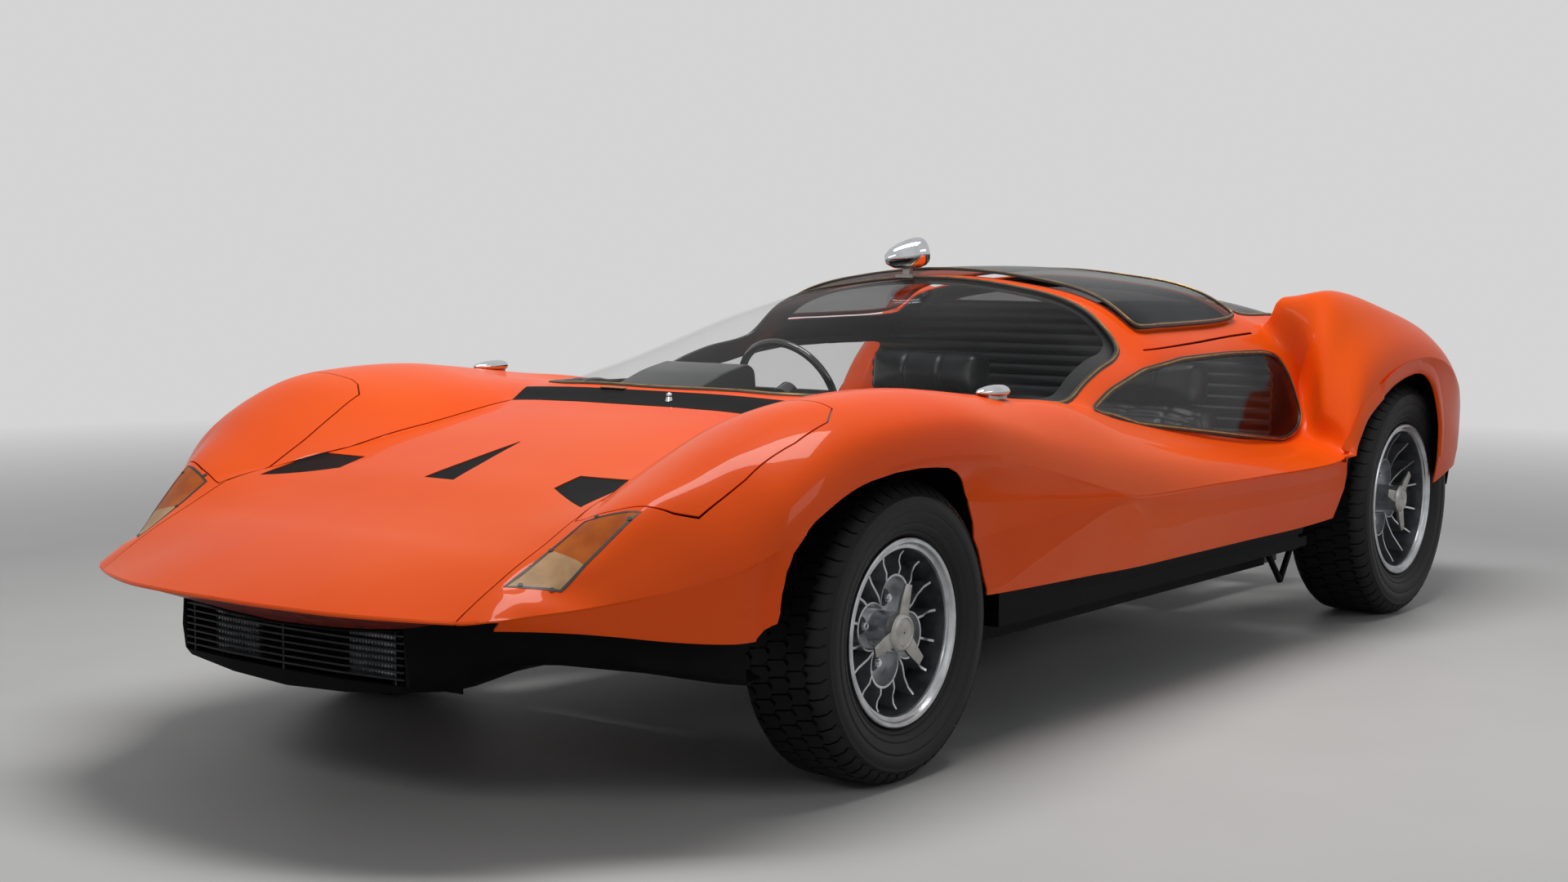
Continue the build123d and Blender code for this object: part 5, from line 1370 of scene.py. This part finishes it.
def mirror_pieces(finishes):
    """Chrome egg mirror on the windscreen hoop, low fender mirrors, washer nozzle and the tab behind it."""
    bm = bmesh.new()
    spun(bm, EGG_PROFILE, 48, 0, False)
    bmesh.ops.scale(bm, vec=(1.0, 1.12, 1.05), verts=bm.verts)
    turn = Matrix.Rotation(math.radians(60), 4, "Z") @ Matrix.Rotation(math.radians(12), 4, "X")
    bmesh.ops.transform(bm, matrix=turn, verts=bm.verts)
    bmesh.ops.translate(bm, verts=bm.verts, vec=at(*EGG_PLACE))
    station, y, z = EGG_PLACE
    for size, level in (((34, 52, 8), 936), ((16, 20, 30), 952)):
        add_box(bm, at(station, y, level), size, 1)
    bmesh.ops.recalc_face_normals(bm, faces=bm.faces)
    egg = finished(bm, "egg_mirror", [finishes["chrome"], finishes["satin"]], "car", 30)
    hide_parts("roof_mirror")

    bm = bmesh.new()
    spun(bm, MARKER_PROFILE, 32, 0, False)
    bmesh.ops.transform(bm, matrix=Matrix.Rotation(math.radians(90), 4, "Z"), verts=bm.verts)
    bmesh.ops.scale(bm, vec=(1, 1.0, 0.6), verts=bm.verts)
    (place, normal), = on_skin([MARKER_PLACE, (MARKER_PLACE[0] + 1, MARKER_PLACE[1])], size=50, closed=False)
    bmesh.ops.translate(bm, verts=bm.verts, vec=place + Vector((0, 0, 0.012)))
    add_box(bm, place + Vector((-4, 0, 2)) * MM, (70, 26, 12), 1)
    mirrored_copy(bm)
    bmesh.ops.recalc_face_normals(bm, faces=bm.faces)
    markers = finished(bm, "fender_mirror_eggs", [finishes["chrome"], finishes["satin"]], "car", 30)
    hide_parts("fender_mirrors")

    bm = bmesh.new()
    bmesh.ops.create_cone(bm, cap_ends=True, segments=20, radius1=9 * MM, radius2=6 * MM, depth=10 * MM,
                          matrix=Matrix.Translation(at(*NOZZLE_PLACE)))
    station, y, z = NOZZLE_PLACE
    bmesh.ops.create_uvsphere(bm, u_segments=16, v_segments=10, radius=6.5 * MM,
                              matrix=Matrix.Translation(at(station, y, z + NOZZLE_TOP)))
    finished(bm, "washer_nozzle", [finishes["chrome"]], "car", 40)
    bm = bmesh.new()
    add_box(bm, at(*TAB_PLACE), (20, 66, 3))
    bmesh.ops.bevel(bm, geom=bm.edges[:], offset=0.001, segments=1, profile=0.5, affect="EDGES", material=-1)
    finished(bm, "cowl_tab", [finishes["tan"]], "car", 40)


# Lining between the cabin's openings: where it starts and ends, and how deep it lies under the body
LINING_FRONT = -165
LINING_REAR = -1945
LINING_DEPTH = 9
# How far the lining reaches in under the windscreen and under the sliding pane
LINING_UNDER_SCREEN = 26
LINING_UNDER_ROOF = 22
# Wall behind the seats: pitch and depth of its pleats, its station, half width, foot, top and lean
PLEAT = 29
PLEAT_DEPTH = 9
REAR_WALL = -1868
WALL_HALF = 632
WALL_FOOT = 222
WALL_TOP = 862
WALL_LEAN = 0.028
PADDING_WALL = 0.012
# Room left between the wall's top and the body above it
WALL_GAP = 24
# Seat profiles from the side, as (station, z), and their widths
SEAT_Y = 330
CUSHION = [(-965, 222), (-955, 320), (-1010, 342), (-1420, 308), (-1425, 222)]
BACKREST = [(-1410, 225), (-1425, 320), (-1660, 600), (-1780, 608), (-1700, 420), (-1545, 222)]
HEADREST = [(-1676, 606), (-1690, 712), (-1720, 718), (-1778, 716), (-1784, 612)]
SEAT_HALF = 215
HEADREST_HALF = 170
# Dashboard from the side, half its width, the y between which the instruments' hood lies, and its profile
DASHBOARD = [(-430, 566), (-432, 634), (-620, 648), (-790, 664), (-838, 640), (-798, 545), (-702, 506)]
DASHBOARD_HALF = 600
HOOD_SPAN = (-452, -200)
INSTRUMENT_HOOD = [(-470, 640), (-520, 672), (-640, 712), (-735, 730), (-762, 716), (-770, 650), (-700, 630)]

# Steering wheel: middle of its ring, the ring's radius and tube, and the tilt of its column
STEERING_PLACE = (7, -300, 640)
STEERING_RING = 142
RING_TUBE = 10
HUB_RADIUS = 24
COLUMN_TILT = 24


def lining_pieces(finishes):
    """Black lining on the inside of the body round the cabin's openings."""
    bm = upper_skin()
    trim(bm, [(LINING_FRONT, -700), (LINING_FRONT, 700), (LINING_REAR, 700), (LINING_REAR, -700)], True)
    layer = bm.verts.layers.float.get("line")
    low = WINDOW_LINES[0] - 1.2
    lines = [(f, sum(v[layer] for v in f.verts) / len(f.verts)) for f in bm.faces]
    outside = [f for f, line in lines if not low < line < 2 * CENTRE_LINE - low]
    bmesh.ops.delete(bm, geom=outside, context="FACES")
    trim(bm, shifted_outline(WINDSCREEN, -LINING_UNDER_SCREEN), False)
    trim(bm, shifted_outline(ROOF, -LINING_UNDER_ROOF), False)
    cut_both_sides(bm, WINDOW)
    bm.normal_update()
    for vert in bm.verts:
        vert.co -= vert.normal * (LINING_DEPTH * MM)
    lining = finished(bm, "cabin_lining", [finishes["lining"]], "car")
    add_wall(lining, SHELL_WALL)


def prism_between(outline, low, high):
    """Solid between two y over an outline given as (station, z)."""
    bm = bmesh.new()
    drawn_out(bm, [at(s, low, z) for s, z in outline], (0, (high - low) * MM, 0))
    bmesh.ops.recalc_face_normals(bm, faces=bm.faces)
    return bm


def rounded_block(outline, low, high, corner, edge):
    """Solid with rounded corners and soft rims over an outline given as (station, z)."""
    bm = prism_between(rounded_outline(outline, corner, 4), low, high)
    rims = [e for e in bm.edges if abs(e.verts[0].co.y - e.verts[1].co.y) < 1e-6]
    bmesh.ops.bevel(bm, geom=rims, offset=edge * MM, offset_type="OFFSET", segments=4, profile=0.5,
                    affect="EDGES", material=-1, clamp_overlap=True)
    return bm


# Pads: size of a remeshed face in metres, frames and pressure of the swelling, where seams lie from a
# pad's middle, how many run across, and the first one and the pitch on cushion and backrest
VOXEL = 0.006
SWELL_FRAMES = 20
SWELL_PRESSURE = 4
SEAM_Y = 110
HEAD_SEAM_Y = 58
SEAM_COUNT = 8
CUSHION_SEAMS = (-1010, 48)
BACKREST_SEAMS = (-1450, 30)


def swollen(bm, name, cap):
    """Mesh of a pad after its padding has swollen it: remeshed, simulated with pressure, and smoothed."""
    mesh = bpy.data.meshes.new(name + "_start")
    bm.to_mesh(mesh)
    bm.free()
    start = bpy.data.objects.new(name + "_start", mesh)
    bpy.context.scene.collection.objects.link(start)
    remesh = start.modifiers.new("remesh", "REMESH")
    remesh.mode = "VOXEL"
    remesh.voxel_size = VOXEL
    graph = bpy.context.evaluated_depsgraph_get()
    even = bpy.data.meshes.new_from_object(start.evaluated_get(graph))
    start.modifiers.clear()
    start.data = even
    before = [v.co.copy() for v in even.vertices]
    cloth = start.modifiers.new("cloth", "CLOTH")
    cloth.settings.use_pressure = True
    cloth.settings.uniform_pressure_force = SWELL_PRESSURE
    cloth.settings.effector_weights.gravity = 0
    cloth.settings.quality = 4
    scene = bpy.context.scene
    for number in range(1, SWELL_FRAMES + 1):
        scene.frame_set(number)
    graph = bpy.context.evaluated_depsgraph_get()
    after = bpy.data.meshes.new_from_object(start.evaluated_get(graph))
    for vertex, old in zip(after.vertices, before):
        move = vertex.co - old
        if move.length > cap * MM:
            vertex.co = old + move.normalized() * (cap * MM)
    scene.frame_set(1)
    result = bmesh.new()
    result.from_mesh(after)
    bpy.data.objects.remove(start)
    for _ in range(3):
        bmesh.ops.smooth_vert(result, verts=result.verts, factor=0.5, use_axis_x=True, use_axis_y=True,
                              use_axis_z=True)
    return result


def creased(bm, y_seams, x_seams, width, depth):
    """Press sewn channels into a pad: across it at stations and along it at y."""
    for vert in bm.verts:
        push = 0
        for y in y_seams:
            push = max(push, math.exp(-((vert.co.y / MM - y) / width) ** 2))
        for station in x_seams:
            push = max(push, math.exp(-(((vert.co.x - FRONT_AXLE_X) / MM - station) / width) ** 2))
        vert.co -= vert.normal * (push * depth * MM)
    return bm


def seam_stations(first, pitch):
    """Stations of the seams that run across a pad."""
    return [first - pitch * i for i in range(SEAM_COUNT)]


def seat_pieces(finishes):
    """Two reclined seats: cushion, backrest and headrest, each swollen by its padding, then sewn."""
    y = SEAT_Y
    cushion = swollen(rounded_block(CUSHION, y - SEAT_HALF, y + SEAT_HALF, 30, 28), "cushion", 14)
    creased(cushion, (y - SEAM_Y, y + SEAM_Y), seam_stations(*CUSHION_SEAMS), 6, 7)
    back = swollen(rounded_block(BACKREST, y - SEAT_HALF, y + SEAT_HALF, 40, 28), "backrest", 16)
    creased(back, (y - SEAM_Y, y + SEAM_Y), seam_stations(*BACKREST_SEAMS), 6, 7)
    head = swollen(rounded_block(HEADREST, y - HEADREST_HALF, y + HEADREST_HALF, 26, 24), "headrest", 14)
    creased(head, (y - HEAD_SEAM_Y, y + HEAD_SEAM_Y), (), 4.5, 7)
    for part, drawn in (("seat_cushion_", cushion), ("seat_back_", back), ("headrest_", head)):
        for name, move in (("left", 0), ("right", -2 * SEAT_Y * MM)):
            bm = drawn.copy()
            bmesh.ops.translate(bm, verts=bm.verts, vec=(0, move, 0))
            piece = finished(bm, part + name, [finishes["leather"]], "car", 180)
            if part == "seat_back_":
                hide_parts("seat_" + name)
        drawn.free()


def wall_pieces(finishes):
    """Pleated wall behind the seats, padded dashboard and instrument hood."""
    across = on_skin([(REAR_WALL, 0), (REAR_WALL, WALL_HALF)], size=8, closed=False)
    heights = [(abs(place.y), place.z) for place, normal in across]
    rows = []
    z = WALL_FOOT
    while z < WALL_TOP:
        t = (z - WALL_FOOT) / PLEAT
        bulge = PLEAT_DEPTH * abs(math.sin(math.pi * t)) ** 0.5
        lean = (z - WALL_FOOT) * WALL_LEAN
        half = max((y / MM for y, top in heights if top > (z + WALL_GAP) * MM), default=0)
        rows.append([(REAR_WALL - lean + bulge, y / 12 * half, z) for y in range(-12, 13)])
        z += PLEAT / 6
    bm = bmesh.new()
    stretched_strip(bm, rows, [0] * len(rows))
    bmesh.ops.recalc_face_normals(bm, faces=bm.faces)
    outward(bm, (1, 0, 0))
    wall = finished(bm, "pleated_rear_wall", [finishes["leather"]], "car", 100)
    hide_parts("cabin_rear_wall")
    add_wall(wall, PADDING_WALL)

    dash = rounded_block(DASHBOARD, -DASHBOARD_HALF, DASHBOARD_HALF, 22, 16)
    for vert in dash.verts:
        reach = 1 - max(0, (vert.co.x - FRONT_AXLE_X) / MM + 640) / 210 * 0.3
        vert.co.y *= min(reach, 1)
    hood = rounded_block(INSTRUMENT_HOOD, *HOOD_SPAN, 26, 30)
    join_meshes(dash, hood)
    piece = finished(dash, "padded_dashboard", [finishes["leather"]], "car", 60)
    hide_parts("dashboard")


def steering_wheel_piece(finishes):
    """Thin-rimmed steering wheel with three flat spokes, facing up along its column."""
    bm = bmesh.new()
    tube = [FULL_TURN * i / 12 for i in range(12)]
    spun(bm, [(STEERING_RING + RING_TUBE * math.cos(a), RING_TUBE * math.sin(a)) for a in tube], 72)
    spun(bm, [(10, -35), (30, -35), (30, 4), (HUB_RADIUS, 10), (10, 10)], 48)
    spoke = Matrix.Diagonal((26 * MM, 5 * MM, (STEERING_RING - HUB_RADIUS) * MM, 1))
    outwards = Matrix.Translation((0, 0, (STEERING_RING + HUB_RADIUS) / 2 * MM))
    for angle in (90, 180, 270):
        turn = Matrix.Rotation(math.radians(angle), 4, "Y")
        bmesh.ops.create_cube(bm, size=1, matrix=turn @ outwards @ spoke)
    lean = math.radians(COLUMN_TILT)
    leaned = ((0, -math.cos(lean), math.sin(lean)), (1, 0, 0), (0, math.sin(lean), math.cos(lean)))
    place = Matrix.Translation([v * MM for v in STEERING_PLACE])
    bmesh.ops.transform(bm, verts=bm.verts, matrix=place @ Matrix(leaned).to_4x4())
    bmesh.ops.recalc_face_normals(bm, faces=bm.faces)
    wheel = finished(bm, "thin_rimmed_steering_wheel", [finishes["gloss_black"]], "steering_wheel",
                     40)
    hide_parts("steering_wheel")


def dress_nodes(finishes):
    """Finishes of the CAD nodes that show as they are."""
    table = {"floor_pan": "steel", "centre_tunnel": "carpet", "side_sills": "matte_black",
             "wheel_houses": "liner", "steering_column": "steel", "engine": "iron", "exhaust": "steel",
             "front_axle": "steel", "rear_axle": "steel", "knuckle_left": "steel", "knuckle_right": "steel",
             "roof_runners": "matte_black"}
    for node, finish in table.items():
        for slot in bpy.data.objects[node].material_slots:
            slot.material = finishes[finish]


# End face of the tail: its middle's height, its painted border as a share, and how deep the panel is let in
TAIL_MIDDLE_Z = 470
TAIL_BORDER = 0.9
TAIL_RECESS = 14
# Blank number plate: thickness, width, height
PLATE_SIZE = (4, 420, 100)


def tail_pieces(finishes):
    """End face of the tail: a painted border round a recessed black panel with a blank plate."""
    bm = join_meshes(upper_skin(), mirrored_copy(outward(lower_skin(), (0, 1, 0))))
    bmesh.ops.remove_doubles(bm, verts=bm.verts, dist=WELD)
    cut_tail(bm)
    high, low = at(TAIL_TOP[0], 0, TAIL_TOP[1]), at(TAIL_FOOT[0], 0, TAIL_FOOT[1])
    along = (high - low).normalized()
    facing = Vector((along.z, 0, -along.x))
    facing = facing if facing.x < 0 else -facing
    rim = [v.co.copy() for v in bm.verts if abs((v.co - high).dot(facing)) < 1e-4]
    bm.free()
    middle = low + along * ((TAIL_MIDDLE_Z * MM - low.z) / along.z)
    rim.sort(key=lambda p: math.atan2(p.y, (p - middle).dot(along)))
    ends = []
    for p in rim:
        on_plane = Vector((0, p.y, 0)) + low + along * ((p - low).dot(along))
        if not ends or (on_plane - ends[-1]).length > 0.006:
            ends.append(on_plane)
    bm = bmesh.new()
    rings = []
    for scale, depth in ((1.0, 0), (TAIL_BORDER, 0), (TAIL_BORDER - 0.01, TAIL_RECESS), (0.02, TAIL_RECESS)):
        rings.append([bm.verts.new(middle + (p - middle) * scale - facing * (depth * MM)) for p in ends])
    for k, (one, two) in enumerate(zip(rings, rings[1:])):
        for i in range(len(ends) - 1):
            bm.faces.new((one[i], one[i + 1], two[i + 1], two[i])).material_index = 0 if k == 0 else 1
    outward(bm, (-1, 0, 0))
    face = finished(bm, "tail_end_face", [finishes["paint"], finishes["matte_black"]], "car",
                    30)
    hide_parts("tail_panel")
    add_wall(face, SHELL_WALL)
    bm = bmesh.new()
    turn = Matrix.Rotation(math.atan2(along.x, along.z), 4, "Y")
    place = middle + facing * 0.002 - facing * TAIL_RECESS * MM - along * 0.01
    add_box(bm, place, PLATE_SIZE, 0, turn)
    bmesh.ops.bevel(bm, geom=bm.edges[:], offset=0.0012, segments=2, profile=0.5, affect="EDGES", material=-1)
    finished(bm, "blank_plate", [finishes["satin"]], "car", 30)


# Camera, as fitted to the photograph: focus in pixels, place in metres, yaw, pitch and roll in degrees
CAMERA_FOCUS = 2655.6
CAMERA_PLACE = (4.3916, 2.9821, 1.0132)
CAMERA_TURN = (-143.067, -5.167, 0.232)
SENSOR_WIDTH = 36
PICTURE_WIDTH = 1920
# Distances from the car, in metres, between which the floor fades into the surround
FLOOR_FADE = (3.2, 8.0)
# Lights, as (name, place, aimed at, length, power), and their width as a share of the length
LIGHTS = (("ceiling_softbox", (0.5, 0.4, 4.4), (0.0, 0.0, 0.4), 3.0, 150),
          ("front_softbox", (5.2, 1.2, 3.0), (0.6, 0.2, 0.5), 2.2, 26),
          ("side_softbox", (-0.8, 5.6, 2.4), (-0.4, 0.4, 0.4), 2.6, 22))
LIGHT_WIDTH = 0.45
# Brightness of the pale surround
BACKGROUND = 0.66


def stage_pieces(context):
    """Floor, plain soft light, and the camera at the photograph's angle."""
    scene = context.scene
    scene.view_settings.view_transform = "Standard"
    bm = bmesh.new()
    bmesh.ops.create_grid(bm, x_segments=2, y_segments=2, size=60)
    mesh = bpy.data.meshes.new("studio_floor")
    bm.to_mesh(mesh)
    bm.free()
    floor = bpy.data.objects.new("studio_floor", mesh)
    scene.collection.objects.link(floor)
    # Painted studio floor: pale and matte, and white where it is seen far from the car
    material, tree, shader, place = new_material("painted_studio_floor", {"Roughness": 0.55})
    away = add_node(tree, "ShaderNodeVectorMath", {"operation": "LENGTH"}, {0: (place, "Object")})
    fade = add_node(tree, "ShaderNodeMapRange", {"From Min": FLOOR_FADE[0], "From Max": FLOOR_FADE[1]},
                    {"Value": (away, "Value")})
    rays = add_node(tree, "ShaderNodeLightPath")
    seen = add_node(tree, "ShaderNodeMath", {"operation": "MAXIMUM"},
                    {0: (rays, "Is Camera Ray"), 1: (rays, "Is Glossy Ray")})
    amount = add_node(tree, "ShaderNodeMath", {"operation": "MULTIPLY"},
                      {0: (fade, "Result"), 1: (seen, "Value")})
    white = add_node(tree, "ShaderNodeEmission", {"Color": (1.0, 1.0, 1.0, 1.0), "Strength": BACKGROUND})
    mixed = add_node(tree, "ShaderNodeMixShader", None,
                     {"Fac": (amount, "Value"), 1: (shader, "BSDF"), 2: (white, "Emission")})
    show_shader(tree, mixed)
    noise = add_node(tree, "ShaderNodeTexNoise", {"Scale": 3, "Detail": 2}, {"Vector": (place, "Object")})
    ramp = add_node(tree, "ShaderNodeValToRGB", None, {"Fac": (noise, "Fac")})
    ramp.color_ramp.elements[0].color = linear("#c2c2c0")
    ramp.color_ramp.elements[1].color = linear("#cacac8")
    tree.links.new(ramp.outputs["Color"], shader.inputs["Base Color"])
    mesh.materials.append(material)

    world = bpy.data.worlds.new("studio")
    world.use_nodes = True
    scene.world = world
    tree = world.node_tree
    tree.nodes.clear()
    light_path = add_node(tree, "ShaderNodeLightPath")
    seen = add_node(tree, "ShaderNodeMath", {"operation": "MAXIMUM"},
                    {0: (light_path, "Is Camera Ray"), 1: (light_path, "Is Glossy Ray")})
    seen = add_node(tree, "ShaderNodeMath", {"operation": "MAXIMUM"},
                    {0: (seen, "Value"), 1: (light_path, "Is Transmission Ray")})
    ambient = add_node(tree, "ShaderNodeBackground", {"Color": (0.9, 0.94, 1.0, 1.0), "Strength": 0.14})
    white = add_node(tree, "ShaderNodeBackground", {"Color": (1.0, 1.0, 1.0, 1.0), "Strength": BACKGROUND})
    mixed = add_node(tree, "ShaderNodeMixShader", None,
                     {"Fac": (seen, "Value"), 1: (ambient, "Background"), 2: (white, "Background")})
    add_node(tree, "ShaderNodeOutputWorld", None, {"Surface": (mixed, "Shader")})

    for name, place, target, size, power in LIGHTS:
        light = bpy.data.lights.new(name, "AREA")
        light.shape = "RECTANGLE"
        light.size = size
        light.size_y = size * LIGHT_WIDTH
        light.energy = power
        lamp = bpy.data.objects.new(name, light)
        scene.collection.objects.link(lamp)
        lamp.location = place
        lamp.rotation_euler = (Vector(target) - Vector(place)).to_track_quat("-Z", "Y").to_euler()

    data = bpy.data.cameras.new("camera")
    data.sensor_width = SENSOR_WIDTH
    data.lens = CAMERA_FOCUS / PICTURE_WIDTH * SENSOR_WIDTH
    camera = bpy.data.objects.new("camera", data)
    scene.collection.objects.link(camera)
    yaw, pitch, roll = (math.radians(a) for a in CAMERA_TURN)
    ahead = Vector((math.cos(yaw) * math.cos(pitch), math.sin(yaw) * math.cos(pitch), math.sin(pitch)))
    right = ahead.cross(Vector((0, 0, 1))).normalized()
    up = right.cross(ahead)
    turned_right = right * math.cos(roll) + up * math.sin(roll)
    turned_up = up * math.cos(roll) - right * math.sin(roll)
    turn = Matrix((turned_right, turned_up, -ahead)).transposed().to_4x4()
    camera.matrix_world = Matrix.Translation(CAMERA_PLACE) @ turn
    scene.camera = camera


FINISHES = {}


class WEDGE_PG_car(bpy.types.PropertyGroup):
    shut_gap: bpy.props.FloatProperty(name="Shut gap", description="Gap round the lids", default=0.003,
                                      unit="LENGTH")
    panel_wall: bpy.props.FloatProperty(name="Panel wall", description="Thickness of the painted panels",
                                        default=0.004, unit="LENGTH")
    glass_thickness: bpy.props.FloatProperty(name="Glass thickness", description="Thickness of the panes",
                                             default=0.004, unit="LENGTH")


class WEDGE_OT_stage(bpy.types.Operator):
    """Floor, lights and camera"""
    bl_idname = "wedge.stage"
    bl_label = "Stage"

    def execute(self, context):
        stage_pieces(context)
        return {"FINISHED"}


class WEDGE_OT_body(bpy.types.Operator):
    """Painted body and fender lids"""
    bl_idname = "wedge.body"
    bl_label = "Body"

    def execute(self, context):
        FINISHES.update(make_materials())
        body_pieces(context, FINISHES)
        return {"FINISHED"}


class WEDGE_OT_lids(bpy.types.Operator):
    """Hood and engine cover"""
    bl_idname = "wedge.lids"
    bl_label = "Lids"

    def execute(self, context):
        hood_pieces(context, FINISHES)
        engine_cover_pieces(context, FINISHES)
        return {"FINISHED"}


class WEDGE_OT_glass(bpy.types.Operator):
    """Panes, lamps and the vent strip"""
    bl_idname = "wedge.glass"
    bl_label = "Glass and lamps"

    def execute(self, context):
        glass_pieces(context, FINISHES)
        lamp_pieces(FINISHES)
        return {"FINISHED"}


class WEDGE_OT_nose(bpy.types.Operator):
    """Face under the nose, chin, grille and headlamps"""
    bl_idname = "wedge.nose"
    bl_label = "Nose"

    def execute(self, context):
        nose_pieces(FINISHES)
        return {"FINISHED"}


class WEDGE_OT_trim(bpy.types.Operator):
    """Window seals, lamp frames, rear arch lips and mirrors"""
    bl_idname = "wedge.trim"
    bl_label = "Seals and mirrors"

    def execute(self, context):
        seal_pieces(FINISHES)
        arch_lip_pieces(FINISHES)
        mirror_pieces(FINISHES)
        return {"FINISHED"}


class WEDGE_OT_cabin(bpy.types.Operator):
    """Lining, steering wheel, seats, rear wall and dashboard"""
    bl_idname = "wedge.cabin"
    bl_label = "Cabin"

    def execute(self, context):
        lining_pieces(FINISHES)
        steering_wheel_piece(FINISHES)
        seat_pieces(FINISHES)
        wall_pieces(FINISHES)
        return {"FINISHED"}


class WEDGE_OT_finishes(bpy.types.Operator):
    """Finishes of the parts that keep their own shape"""
    bl_idname = "wedge.finishes"
    bl_label = "Running gear finishes"

    def execute(self, context):
        dress_nodes(FINISHES)
        return {"FINISHED"}


class WEDGE_OT_tail(bpy.types.Operator):
    """End face of the tail"""
    bl_idname = "wedge.tail"
    bl_label = "Tail"

    def execute(self, context):
        tail_pieces(FINISHES)
        return {"FINISHED"}


class WEDGE_OT_wheels(bpy.types.Operator):
    """Tyres and rims"""
    bl_idname = "wedge.wheels"
    bl_label = "Wheels"

    def execute(self, context):
        wheel_pieces(FINISHES)
        return {"FINISHED"}


class WEDGE_PT_panel(bpy.types.Panel):
    """Sizes of the car and buttons that make its pieces"""
    bl_idname = "WEDGE_PT_panel"
    bl_label = "Wedge Car"
    bl_space_type = "VIEW_3D"
    bl_region_type = "UI"
    bl_category = "Wedge Car"

    def draw(self, context):
        for name in WEDGE_PG_car.__annotations__:
            self.layout.prop(context.scene.wedge_car, name)
        for operator in OPERATORS:
            self.layout.operator(operator.bl_idname)


OPERATORS = (WEDGE_OT_stage, WEDGE_OT_body, WEDGE_OT_lids, WEDGE_OT_glass, WEDGE_OT_nose, WEDGE_OT_trim,
             WEDGE_OT_cabin, WEDGE_OT_tail, WEDGE_OT_wheels, WEDGE_OT_finishes)
CLASSES = (WEDGE_PG_car,) + OPERATORS + (WEDGE_PT_panel,)


def register():
    for cls in CLASSES:
        bpy.utils.register_class(cls)
    bpy.types.Scene.wedge_car = bpy.props.PointerProperty(type=WEDGE_PG_car)


def unregister():
    del bpy.types.Scene.wedge_car
    for cls in reversed(CLASSES):
        bpy.utils.unregister_class(cls)


def main():
    register()
    for operator in OPERATORS:
        getattr(bpy.ops.wedge, operator.bl_idname.split(".")[1])()


if __name__ == "__main__":
    main()
